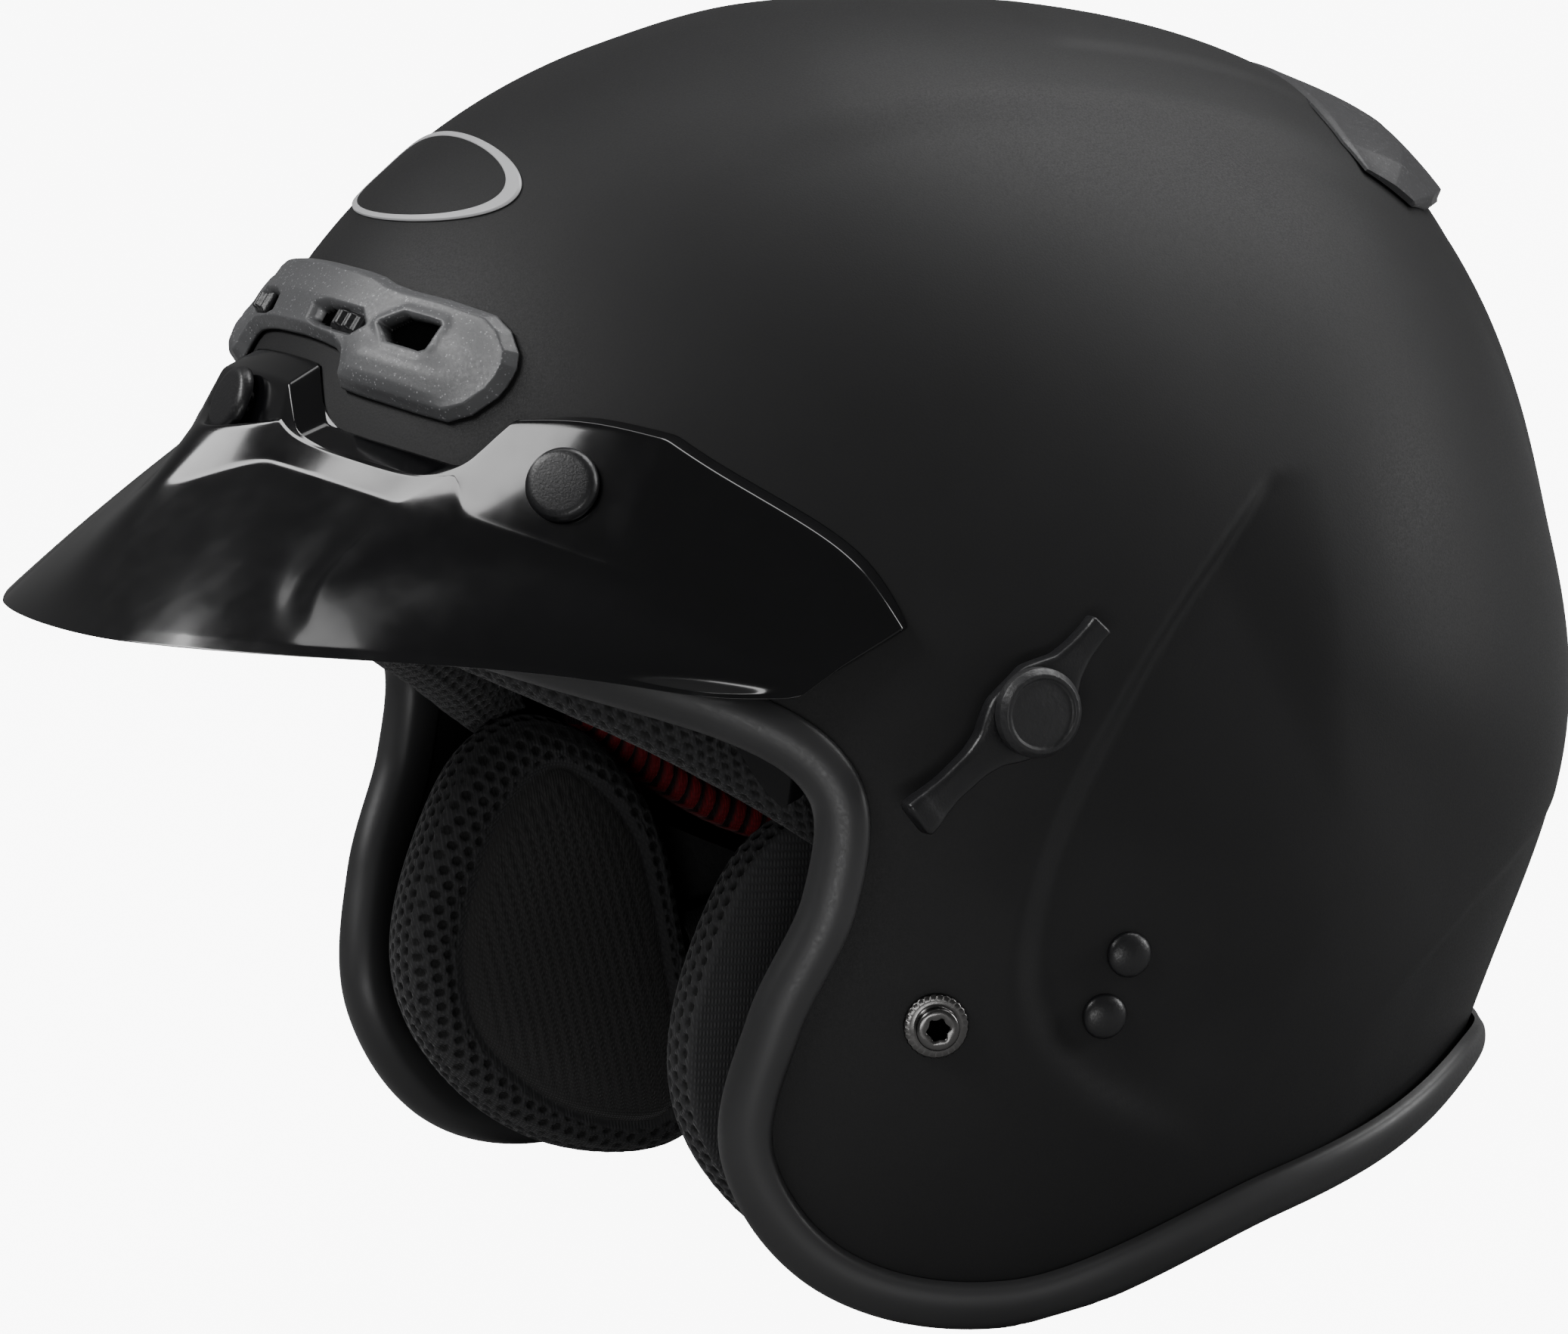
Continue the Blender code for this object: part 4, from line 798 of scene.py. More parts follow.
def build_brow_vent():
    """Grey vent cover over the brow with its openings, and the two ribbed sliders."""
    low = ((0, 144.2), (7.5, 144.2), (14, 143.9), (20, 143.3), (23, 142.0), (24.4, 139.6), (25.2, 137.4),
           (26.8, 136.1), (32, 135.8), (46, 135.7), (52, 135.9), (55.5, 138.6), (58.0, 143.3), (58.5, 146.5),
           (58.4, 147.6))
    high = ((0, 159.7), (17, 159.6), (22, 159.3), (26, 158.5), (31, 158.2), (40, 158.5), (49.6, 158.2),
            (53.6, 156.2), (57.0, 152.6), (58.2, 149.6), (58.4, 147.6))
    xs = np.unique(np.concatenate([np.linspace(0, 22, 50), np.linspace(22, 28, 40), np.linspace(28, 54, 60),
                                   np.linspace(54, 58.4, 36)]))
    low_z = np.interp(xs, *np.array(low).T)
    high_z = np.interp(xs, *np.array(high).T)
    share = np.linspace(0, 1, 61)[:, None]
    z = low_z + (high_z - low_z) * share
    x = xs + 0 * share
    outline = np.vstack([np.array(low), np.array(high)[::-1][1:]])
    outline = np.vstack([outline, outline[::-1][1:-1] * np.array([-1, 1])])
    away, _ = distance_to(outline, np.stack([x, z], -1))
    lift = 1.2 + 2.3 * np.clip(away / 1.7, 0, 1)
    lift += 0.5 * smoothstep(2, 9, away)
    scoop = np.exp(-((x - 37.5) / 11.5) ** 4) * smoothstep(149, 142, z)
    lift += 1.5 * scoop * smoothstep(0.4, 4, away)
    track = np.array(((9, 147.2), (13, 146.0), (24.5, 146.0), (27.5, 148.6), (24.5, 151.2), (13, 151.2),
                      (9, 150.2)))
    hexagon = np.array(((30.6, 149.6), (34.6, 153.0), (42.6, 153.0), (43.2, 152.2), (43.2, 147.2),
                        (42.6, 146.6), (34.6, 146.6)))
    opening = np.array(((10.6, 147.2), (13, 146.8), (20, 146.8), (20, 150.6), (13, 150.6), (10.6, 149.8)))
    spots = np.stack([x, z], -1)
    lift -= 1.5 * smoothstep(-0.4, 0.9, signed_distance(track, spots))
    # dark marks the floors of the openings for painted shade: near-black colour where the tag is 1.
    dark = np.zeros_like(lift)
    for path, rim, blend in ((opening, 0.0, 0.3), (hexagon, 0.35, 0.35)):
        inside = signed_distance(path, spots)
        lift += rim * smoothstep(-2.2, -0.6, inside)
        hole = smoothstep(-0.1, blend, inside)
        lift = lift * (1 - hole) + 0.85 * hole
        dark = np.maximum(dark, hole)
    foot = front_grid(x, z)
    out = normal(foot)
    outer = foot + out * lift[..., None]
    inner = foot + out * 0.7
    dark = np.concatenate([dark[:, 1:][:, ::-1], dark], 1)
    points, faces = sheet(two_sided(outer), two_sided(inner))
    tags = np.concatenate([dark.ravel(), np.zeros(dark.size)])
    made = build("brow_vent_body", points, faces, [VENT, HOLE_SHADE], replaces=("brow_vent_cover",),
                 slot="speckled_grey", tag=tags)
    # Faces lying wholly in an opening take the black matte painted hole shade.
    for polygon in made.data.polygons:
        polygon.material_index = int(min(tags[v] for v in polygon.vertices) > 0.55)
    for side, word in ((1, "left"), (-1, "right")):
        at = front_point(side * 21.5, 148.4)
        out, along, across = basis(normal(at), AXIS_X * side)
        grid_u, grid_v = np.meshgrid(np.linspace(-4.4, 4.4, 61), np.linspace(-2.15, 2.15, 31))
        rib = 1.0 * np.exp(-((grid_u - 1.6) / 0.8) ** 4) + 1.0 * np.exp(-((grid_u + 1.4) / 0.8) ** 4)
        edge = np.minimum(4.4 - np.abs(grid_u), 2.15 - np.abs(grid_v))
        tall = 2.9 + 0.7 * smoothstep(0, 0.7, edge) + rib * smoothstep(0, 0.8, edge)
        flat = at + along * grid_u[..., None] + across * grid_v[..., None]
        build("slider_thumb_" + word, *sheet(flat + out * tall[..., None], flat + out * 1.1), LEVER,
              body="slider_" + word, replaces=("vent_slider_" + word,), tag=np.zeros(2 * grid_u.size))


def build_rear_vent():
    """Low exhaust vent across the back of the crown."""
    columns = np.array(((0, 89.4, 58, 1.0), (15, 89.2, 58, 1.0), (29, 88.9, 58.5, 1.0), (42, 88.2, 61, 0.95),
                        (51, 87.2, 66, 0.7), (57.5, 85.0, 73, 0.15)))
    xs = np.concatenate([np.linspace(0, 45, 60), np.linspace(45, 57.5, 40)[1:]])
    front, back, tall = (np.interp(xs, columns[:, 0], columns[:, k]) for k in (1, 2, 3))
    share = np.linspace(0, 1, 61)[:, None]
    angle = np.radians(front + (back - front) * share * 0.62)
    x = xs + 0 * share
    direction = np.stack([0 * x, np.cos(angle), np.sin(angle)], -1)
    origin = np.stack([x, 0 * x, CENTRE_Z + 0 * x], -1)
    foot = cast(direction, origin)
    rise = smoothstep(-0.02, 0.75, share) * (1 - smoothstep(0.93, 1.0, share) * 0.7)
    rim = smoothstep(0, 0.06, share) * 0.16
    lift = 1.9 + 4.2 * np.clip(rise + rim, 0, 1) * tall
    lift -= 0.9 * np.exp(-((x - 30) / 1.2) ** 2) * smoothstep(0.2, 0.5, share)
    lift = np.clip(lift, 1.7, 7.5)
    outer = two_sided(foot + normal(foot) * lift[..., None])
    inner = two_sided(foot + normal(foot) * 1.3)
    # The rear vent takes the darker copy of the speckled grey, as painted shade.
    made = build("rear_vent_body", *sheet(outer, inner), VENT_SHADED, replaces=("rear_vent",),
                 slot="speckled_grey", tag=np.zeros(2 * outer.shape[0] * outer.shape[1]))
    sharpen(made, 60)


BADGE_Z, BADGE_HALF_WIDTH, BADGE_HALF_HEIGHT = 181.5, 34.0, 10.8
BADGE_POINTS = 128


def build_badge():
    """Plain oval badge: a thin bright ring round a centre in the shell's own finish."""
    angle = np.linspace(0, 2 * math.pi, BADGE_POINTS, endpoint=False)

    def oval(share, lift):
        spots = front_grid(BADGE_HALF_WIDTH * share * np.cos(angle),
                           BADGE_Z + BADGE_HALF_HEIGHT * share * np.sin(angle))
        return spots + normal(spots) * lift

    shares = np.concatenate([np.linspace(0.15, 0.85, 14), np.linspace(0.87, 1.0, 27)])
    lifts = 0.35 + smoothstep(1.0, 0.985, shares) * (0.12 + 0.22 * smoothstep(0.885, 0.90, shares))
    middle = front_point(0.0, BADGE_Z)
    rings = [middle + normal(middle) * 0.47]
    rings += [oval(share, lift) for share, lift in zip(shares, lifts)] + [oval(1.0, 0.2)]
    made = build("badge_plate", *stack(rings), [BADGE, MATTE], replaces=("front_badge",), slot="silver_badge")
    ring_start = 1 + BADGE_POINTS * np.searchsorted(shares, 0.89)
    for polygon in made.data.polygons:
        polygon.material_index = int(min(polygon.vertices) < ring_start)


# ---------------------------------------------------------------- lens, lever and fittings

def build_lens():
    """Smoked sun lens, a band of a flattened ball about the lever's pivot."""
    stations = np.concatenate([np.linspace(14, 50, 30), np.linspace(52, 108.5, 70), [109.4, 110]]) / 110.0
    grids = []
    for wall in (0.0, 2.0):
        half = []
        for station in stations:
            reach = 108.0 * station
            x = 98.0 * max(1 - station ** 2.08, 0.0) ** (1 / 2.08)
            low = np.interp(reach, (14, 25, 38, 42, 46, 60, 80, 112),
                            (215, 222, 231, 231, 211, 203, 198, 196))
            high = np.interp(reach, (14, 25, 38, 42, 46, 60, 80, 112),
                             (165, 165, 163, 162, 161, 158, 153, 152))
            slope = unit([(x / 98.0) ** 1.08 / 98.0, station ** 1.08 / 108.0])
            angle = np.radians(np.linspace(low, high, 25))
            ring = np.stack([0 * angle + x - wall * slope[0],
                             PIVOT[1] + (reach - wall * slope[1]) * np.cos(angle),
                             PIVOT[2] + (reach - wall * slope[1]) * np.sin(angle)], -1)
            half.append(ring)
        half = np.array(half).transpose(1, 0, 2)
        grids.append(np.concatenate([half, (half[:, :-1] * MIRROR)[:, ::-1]], 1))
    made = build("tinted_lens", *sheet(*grids), LENS, body="lens_and_lever", replaces=("sun_lens",),
                 slot="smoke_lens")
    sharpen(made, 50)


def arm(angle, stations, low):
    """Rounded bar from the pivot outwards. Stations give distance, half width and top height."""
    knots = np.array(stations, float)
    reach = np.linspace(knots[0, 0], knots[-1, 0], 90)
    half, top = (np.interp(reach, knots[:, 0], knots[:, k]) for k in (1, 2))
    kernel = np.ones(7) / 7
    half[3:-3] = np.convolve(half, kernel, "valid")
    top[3:-3] = np.convolve(top, kernel, "valid")
    turn_at = np.linspace(0, 2 * math.pi, 56, endpoint=False)
    square = 1 / (np.abs(np.cos(turn_at)) ** 6 + np.abs(np.sin(turn_at)) ** 6) ** (1 / 6)
    along = np.array([0.0, math.cos(angle), math.sin(angle)])
    across = np.array([0.0, -math.sin(angle), math.cos(angle)])
    rings = []
    for k, (d, w, h) in enumerate(zip(reach, half, top)):
        ends = 1.0 - 0.16 * max(0.0, 1 - (len(reach) - 1 - k) / 2.0) ** 2
        middle = PIVOT * np.array([0, 1, 1]) + along * d + AXIS_X * (low + h) / 2
        sides = (np.cos(turn_at) * square * w * ends)[:, None] * across
        heights = (np.sin(turn_at) * square * (h - low) / 2 * ends)[:, None] * AXIS_X
        rings.append(middle + sides + heights)
    return stack(rings)


def build_lever():
    """Two-armed lever with its pebbled round button."""
    low, high = LEVER_FACE_X - 8.4, LEVER_FACE_X - 3.8
    down = ((0, 7.6, high), (5, 7.4, high), (8, 6.0, high), (11, 4.0, high), (15, 3.0, high - 0.2),
            (22, 2.8, high - 0.3), (26, 3.3, high), (28.2, 3.8, high + 0.5), (31, 3.9, high + 0.5))
    rise = ((0, 7.6, high), (5, 7.2, high), (8, 5.4, high), (11, 3.5, high), (15, 2.6, high - 0.3),
            (19, 2.3, high - 0.3), (21.5, 2.5, high - 0.2))
    first, faces = arm(math.radians(240), down, low)
    second, more = arm(math.radians(68), rise, low)
    faces = faces + [[v + len(first) for v in face] for face in more]
    made = build("lever_arm", np.vstack([first, second]), faces, LEVER, body="lens_and_lever",
                 replaces=("lens_lever",))
    sharpen(made, 60)
    face = LEVER_FACE_X
    outline = rounded(((0, high + 0.3), (KNOB_RADIUS, high + 0.3), (KNOB_RADIUS, face - 1.3), (7.5, face),
                       (6.8, face), (6.4, face - 0.6)), 0.2, 4)
    dish = [(r, face - 0.6 + 0.25 * (1 - (r / 6.2) ** 2)) for r in np.linspace(6.2, 0.35, 16)]
    points, faces = lathe(outline + dish + [(0, face - 0.35)], PIVOT * np.array([0, 1, 1]), AXIS_X, 96)
    build("lever_button", points, faces, PEBBLE, body="lens_and_lever", replaces=("lever_knob",))


def stud_ripple(angle, radius, height):
    """Six-sided socket and knurled flange of a press stud."""
    if radius <= 2.4 and height > 1.9:
        return 0.16 * np.cos(6 * angle)
    return 0.12 * np.cos(28 * angle) if radius > 5.9 and 0.5 < height < 1.3 else 0.0


def build_fittings():
    """Press stud and two strap rivets on each cheek."""
    for side, word in ((1, "left"), (-1, "right")):
        at = side_point(*STUD_PLACE, side)
        outline = [(0, -3.7), (2.0, -3.7), (2.0, 0.2), (5.9, 0.2), (6.2, 0.5), (6.2, 1.1), (5.95, 1.4),
                   (5.0, 1.45), (4.4, 1.45), (4.0, 1.6), (3.75, 2.4), (4.05, 3.3), (4.2, 3.9), (4.05, 4.4),
                   (3.6, 4.65), (2.6, 4.7), (2.1, 4.5), (2.05, 4.2), (2.05, 2.2), (0, 2.0)]
        points, faces = lathe(outline, at, normal(at), 112, stud_ripple)
        made = build("stud_" + word, points, faces, [CHROME, HOLE_SHADE], replaces=("snap_stud_" + word,))
        # Faces inside the six-sided socket take the painted hole shade: black matte standing for the shade in
        # the socket.
        height = (points - at) @ normal(at)
        away = np.linalg.norm(points - at - height[:, None] * normal(at), axis=1)
        for polygon in made.data.polygons:
            ring = list(polygon.vertices)
            polygon.material_index = int(max(away[ring]) < 2.4 and max(height[ring]) < 4.4)
        sharpen(made, 55)
        for place, order in zip(RIVETS, ("upper", "lower")):
            at = side_point(*place, side)
            sunk = float(relief(at))
            dome = [(4.4 * math.cos(a), 0.55 + 1.85 * math.sin(a)) for a in np.linspace(0.0, 1.45, 12)]
            outline = [(0, -3.8), (2.0, -3.8), (2.0, sunk - 0.1), (4.1, sunk - 0.1), (4.4, sunk + 0.25)]
            outline += [(r, h + sunk) for r, h in dome] + [(0, 2.4 + sunk)]
            build("rivet_%s_%s" % (word, order), *lathe(outline, at, normal(at), 64), LEVER,
                  replaces=("strap_rivet_%s_%s" % (word, order),))


def flat_x(flat, depth):
    """x of the layer at a depth below the left side, at places given as y and z."""
    start = np.column_stack([np.zeros(len(flat)), flat])
    found = cast(AXIS_X + 0 * start, start)
    return found[:, 0] - depth / np.abs(normal(found)[:, 0])


# ---------------------------------------------------------------- padding

def hex_holes(u, v, pitch):
    """0 between and 1 inside small round holes on a hexagonal lattice."""
    row = pitch * math.sqrt(3) / 2
    j = np.round(v / row)
    best = np.full(np.shape(u), 9.0)
    for dj in (-1, 0, 1):
        jj = j + dj
        shift = np.where(jj % 2 == 0, 0.0, pitch / 2)
        i = np.round((u - shift) / pitch)
        best = np.minimum(best, np.hypot(u - shift - i * pitch, v - jj * row))
    return smoothstep(pitch * 0.36, pitch * 0.24, best)


PAD_CORE = ((-62, 81), (-69, 69), (-70, 52), (-67, 37), (-59, 25), (-46, 18), (-32, 15), (-17, 17), (-11, 23),
            (-16, 35), (-24, 49), (-32, 62), (-40, 73), (-51, 80))


HOLE_PITCH = 3.1
PAD_BACK_X = PAD_OUTER_X - 0.05


def build_cheek_pads():
    """Cheek pads: a brushed panel inside a seam, and pierced air mesh round it and on the wall."""
    edge = resample(catmull(np.array(PAD_OUTLINE, float), 10, True), 460, True)
    middle = np.array([-40.0, 50.0])
    core = catmull(np.array(PAD_CORE, float), 10, True)
    for side, word in ((1, "left"), (-1, "right")):
        rings = []
        tags = []
        shares = np.concatenate([np.linspace(0.985, 0.9, 14), np.linspace(0.895, 0.02, 130)])

        def inner_x(flat, share):
            away = np.linalg.norm((flat - np.array([-30.0, 50.0])) / (52.0, 40.0), axis=1)
            x = PAD_INNER_X - 1.6 + 3.6 * away ** 2
            roll = np.clip((share - 0.80) / 0.20, 0, 1)
            x = x + 8.0 * (1 - np.sqrt(np.clip(1 - roll ** 2.4, 0, 1)))
            signed = signed_distance(core, flat)
            seam = 1.15 * np.exp(-(signed / 1.1) ** 2) + 0.25 * np.exp(-((signed + 3.0) / 0.5) ** 2)
            crown = -1.5 * smoothstep(0.5, 9.0, signed) - 0.9 * smoothstep(-1, -5, signed) * (1 - roll)
            ribs = 0.22 * np.cos(2 * math.pi * (flat[:, 0] * 0.82 + flat[:, 1] * 0.57) / 2.3) \
                * smoothstep(1.5, 4, signed)
            u, v = flat.T
            pierced = smoothstep(-1.4, -2.4, signed) * smoothstep(0.995, 0.95, share)
            holes = hex_holes(u, v, HOLE_PITCH) * pierced
            thread = 0.5 + 0.5 * np.sin(2 * math.pi * (u + v) / 2.4)
            stitch = 0.25 * np.exp(-((signed + 2.2) / 0.35) ** 2) * thread
            return x + seam + crown + ribs + 0.9 * holes - stitch, holes

        for share in shares[::-1]:
            flat = middle + (edge - middle) * share
            x, holes = inner_x(flat, share)
            rings.append(np.column_stack([x * side, flat]))
            tags.append(holes)
        base = rings[-1][:, 0] * side
        run = np.cumsum(np.linalg.norm(edge - np.roll(edge, 1, 0), axis=1))
        for t in np.linspace(0.02, 1.0, 44):
            at = base + (PAD_OUTER_X - 0.4 - base) * t
            swell = 0.985 + 0.03 * math.sin(math.pi * t ** 0.8)
            holes = hex_holes(run, at, HOLE_PITCH) * smoothstep(0.0, 0.06, t) * smoothstep(0.97, 0.9, t)
            reach = edge - middle
            out = unit(reach)
            flat = middle + reach * swell - out * (0.9 * holes)[:, None]
            rings.append(np.column_stack([at * side, flat]))
            tags.append(holes)
        for share in (0.95, 0.5, 0.06):
            flat = middle + (edge - middle) * share
            rings.append(np.column_stack([np.full(len(flat), PAD_BACK_X * side), flat]))
            tags.append(np.zeros(len(flat)))
        points, faces = stack(rings)
        # The tag marks the mesh holes, which the air mesh colours near-black as painted shade.
        made = build("cheek_cushion_" + word, points, faces, [MESH, BRUSHED], replaces=("cheek_pad_" + word,),
                     slot="air_mesh", tag=np.concatenate(tags))
        centres = np.array([np.mean([points[v] for v in face], 0) for face in faces])
        brushed = (signed_distance(core, centres[:, 1:]) > 0) & (np.abs(centres[:, 0]) < 66)
        for face, flag in zip(made.data.polygons, brushed):
            face.material_index = int(flag)


def soft_roll(name, path, depths, heights, material, taper, replaces, slot, ribs=0.0, rib_pitch=9.0,
              pierced=True):
    """Padded roll along a path, with two sewn seams and, if pierced, mesh holes."""
    path = resample(catmull(np.array(path, float), 16, False), 420, False)
    outward = normal(path)
    angle = np.linspace(0, 2 * math.pi, 72, endpoint=False)
    ends = np.abs(np.linspace(-1, 1, len(path)))
    swell = np.sqrt(np.clip(1 - (ends * taper) ** 6, 0.0, 1))
    swell[0] = swell[-1] = swell[0] * 0.9
    run = run_along(path)
    run -= run[-1] / 2
    rings = []
    tags = []
    for p, n, t, scale, s in zip(path, outward, np.gradient(path, axis=0), swell, run):
        t = unit(t)
        up = unit(np.cross(t, n))
        n = np.cross(up, t)
        square = 1 / (np.abs(np.cos(angle)) ** 2.4 + np.abs(np.sin(angle)) ** 2.4) ** (1 / 2.4)
        dip = (np.cos(2 * math.pi * s / rib_pitch) - 1) * 0.5
        wave = 1 + ribs * dip * smoothstep(1.0, 0.2, np.abs(np.sin(angle)))
        seam = 0.9 * np.exp(-((angle - 4.4) / 0.05) ** 2) + 0.9 * np.exp(-((angle - 2.2) / 0.05) ** 2)
        around = angle * (depths + heights) / 2
        holes = hex_holes(s + 0 * around, around, HOLE_PITCH) if pierced else 0 * around
        holes = holes * (scale > 0.6)
        r = square * scale * wave
        shrink = seam + 0.7 * holes
        a = depths * np.cos(angle) * r - np.cos(angle) * shrink
        b = heights * np.sin(angle) * r - np.sin(angle) * shrink
        rings.append(p + n * a[:, None] + up * b[:, None])
        # The tag marks the mesh holes; the air mesh colours them near-black as painted shade.
        tags.append(holes)
    points, faces = stack(rings)
    made = build(name, points, faces, material, replaces=replaces, slot=slot, tag=np.concatenate(tags))


def build_rolls():
    """Brow and neck cushions."""
    front = [front_point(x, 97.0) for x in (0, 28, 54)]
    front += [side_point(y, z) for y, z in ((-124, 95), (-104, 92))]
    brow = [inset(p, 30.0) for p in front]
    brow += [inset(side_point(-88, 88), 28.0), inset(side_point(-74, 82), 29.0)]
    soft_roll("brow_cushion", mirrored_path(brow), 12.0, 8.4, MESH, 0.97, ("brow_pad",), "air_mesh",
              ribs=0.10, rib_pitch=8.5)
    neck = ((0, 82, 89), (24, 79, 88), (46, 70, 83), (60, 54, 75), (67, 36, 68))
    soft_roll("neck_cushion", mirrored_path(neck), 7.2, 8.2, BRUSHED, 0.97, ("neck_roll",), "brushed_fabric",
              pierced=False)


def build_crown():
    """Quilted crown lining, puffed between its seams, with a plain back against the foam."""
    half = [front_point(x, 109.0) for x in (0, 30, 58)]
    side = ((-122, 109), (-96, 104), (-70, 90), (-45, 81), (-15, 78.5), (15, 78), (45, 84), (72, 96))
    half += [side_point(y, z) for y, z in side]
    half += [cast(AXIS_Y, np.array([x, 0.0, z])) for x, z in ((50, 103), (0, 105))]
    rings, _ = edge_rings(np.array(half), 480, (13.0,))
    rings = rings[1:] + crown_rings(rings[-1], 110)
    outer = [inset(ring, EPS_DEPTH + FOAM_GAP) for ring in rings[::6] + rings[-1:]]
    count = len(rings[0])
    quilt = 1.0 - np.abs(np.sin(np.arange(count) * math.pi * 10 / count)) ** 0.35
    inner = []
    for k, ring in enumerate(rings[:-1]):
        share = k / len(rings)
        puff = 1.6 * quilt * smoothstep(0.06, 0.12, share) * smoothstep(0.95, 0.8, share)
        border = 1.3 * math.exp(-((share - 0.075) / 0.012) ** 2) + 3.0 * math.exp(-k / 1.6)
        depth = EPS_DEPTH + FOAM_GAP + LINER_THICKNESS + 0.4 - puff - border
        inner.append(ring - normal(ring) * depth[:, None])
    inner.append(inset(rings[-1], EPS_DEPTH + FOAM_GAP + LINER_THICKNESS))
    made = build("crown_padding", *stack(outer[::-1] + inner), BRUSHED, replaces=("crown_liner",),
                 slot="brushed_fabric")


def build_band():
    """Red ribbed band round the liner's lower edge."""
    side = ((-66, 92), (-42, 86), (-12, 82), (16, 83.5), (44, 90), (66, 101))
    half = [inset(side_point(y, z), EPS_DEPTH + 3.6) for y, z in side]
    half += [inset(cast(AXIS_Y, np.array([x, 0.0, z])), EPS_DEPTH + 3.6) for x, z in ((42, 109), (0, 111))]
    half = np.array(half)
    path = resample(catmull(np.vstack([half, (half[:-1] * MIRROR)[::-1]]), 12, False), 901, False)
    rows = []
    tags = []
    for p, n, s in zip(path, normal(path), run_along(path)):
        up = unit(AXIS_Z - n * n[2])
        bar = smoothstep(0.52, 0.74, abs(math.sin(math.pi * s / 4.3)))
        face, shoulder, rim = -4.4 - 1.8 * bar, -4.2 - 1.6 * bar, -3.6 - 0.9 * bar
        section = ((rim, -3.4), (shoulder, -1.8), (face, 0), (shoulder, 1.8), (rim, 3.4), (1.4, 3.4),
                   (1.4, -3.4))
        rows.append(np.array([p + n * a + up * b for a, b in section]))
        tags.append(np.full(7, 0.9 * (1 - bar)))
    made = build("ribbed_band", *stack(rows), RED, replaces=("liner_band",), slot="red_fabric",
                 tag=np.concatenate(tags))


# ---------------------------------------------------------------- straps

STRAP_LEAN = math.radians(35.63)
STRAP_DOWN = np.array([0.0, math.sin(STRAP_LEAN), -math.cos(STRAP_LEAN)])
STRAP_ACROSS = np.array([0.0, math.cos(STRAP_LEAN), math.sin(STRAP_LEAN)])
STRAP_START = np.array([0.0, -19.0, 75.8])
RING_WIRE, RING_HALF = 1.5, 13.2


def strap_path(bends):
    """A strap's centre line from its plate through bends given as x and drop, and its width direction."""
    places = STRAP_START + np.linspace(14.5, 36, 5)[:, None] * STRAP_DOWN
    x = flat_x(places[:, 1:], SHELL_WALL + 2.7)
    path = [np.array([a, p[1], p[2]]) for a, p in zip(x, places)]
    across = []
    for p in path:
        n = normal(p)
        across.append(STRAP_ACROSS - n * (n @ STRAP_ACROSS))
    path += [STRAP_START + STRAP_DOWN * drop + AXIS_X * a for a, drop in bends]
    across += [(across[-1] + STRAP_ACROSS) / 2] + [STRAP_ACROSS] * (len(bends) - 1)
    return np.array(path), np.array(across)


def build_straps():
    """Webbing of both chin straps, folded inside the shell, and the two rings."""
    inside = ((102, 42), (97, 46.4), (90, 49.4), (83, 50), (77, 48.6), (73.2, 44), (72, 38), (72, 27),
              (72, 17), (70.9, 13.4), (68, 11.8), (65.1, 13.4), (64, 17))
    hanging = inside + ((64, 24), (64, 31), (62.6, 35), (59, 36.8), (55.4, 35), (54, 31), (56, 26.5),
                        (60, 21.5), (61.6, 17))
    for bends, mirror, word in ((hanging, 1, "left"), (inside + ((64, 24), (64, 33), (64, 42)), -1, "right")):
        path, across = strap_path(bends)
        both = resample(catmull(np.hstack([path, across]), 12, False), 520, False)
        path, across = both[:, :3], both[:, 3:]
        along = unit(np.gradient(path, axis=0))
        across = unit(across)
        shares = np.linspace(-1, 1, 45)
        rings = []
        for k, (p, t, w) in enumerate(zip(path, along, across)):
            thick = 0.74 * (1 - 0.45 * np.abs(shares) ** 10)
            rib = 0.11 * np.cos(2 * math.pi * shares * 11 / 1.9 + (k % 2) * math.pi)
            flat = p + w * (shares * 10.9)[:, None]
            rise = unit(np.cross(t, w)) * (thick + rib)[:, None]
            rings.append(np.vstack([flat + rise, (flat - rise)[::-1]]) * np.array([mirror, 1, 1]))
        made = build("webbing_" + word, *stack(rings), WEB, replaces=("chin_strap_" + word,),
                     slot="strap_webbing")
        sharpen(made, 60)
    for x, word in ((60.8, "outer"), (57.2, "inner")):
        half = RING_HALF
        bow = [(half * math.cos(a), 7 + 12 * math.sin(a)) for a in np.linspace(0, math.pi, 9)]
        path = [(-half / 2, 0.0), (0.0, 0.0), (half / 2, 0.0), (half - 0.8, 0.3), (half, 2.5)] + bow
        path += [(-half, 2.5), (-half + 0.8, 0.3)]
        middle = STRAP_START + AXIS_X * x + STRAP_DOWN * 32.0
        ring = np.array([middle + STRAP_ACROSS * u + STRAP_DOWN * v for u, v in path])
        ring = resample(catmull(ring, 8, True), 180, True)
        along = unit(np.roll(ring, -1, 0) - np.roll(ring, 1, 0))
        around = np.linspace(0, 2 * math.pi, 20, endpoint=False)[:, None]
        sections = []
        for p, t in zip(ring, along):
            a = unit(AXIS_X - t * t[0])
            sections.append(p + (np.cos(around) * a + np.sin(around) * np.cross(t, a)) * RING_WIRE)
        build("ring_" + word, *loop_body(sections), STEEL, body="ring_" + word, replaces=("d_ring_" + word,),
              slot="steel")


# ---------------------------------------------------------------- kept solids

KEPT = {"eps_crown": FOAM, "eps_cheek_left": FOAM, "eps_cheek_right": FOAM, "lens_hub_left": LEVER,
        "lens_hub_right": LEVER, "lens_base_left": LEVER, "lens_base_right": LEVER, "lens_pin_right": STEEL,
        "lever_shaft": STEEL, "strap_plate_left": STEEL, "strap_plate_right": STEEL, "strap_keeper": LEVER,
        "peak_stud_centre": CHROME, "peak_stud_left": CHROME, "peak_stud_right": CHROME}


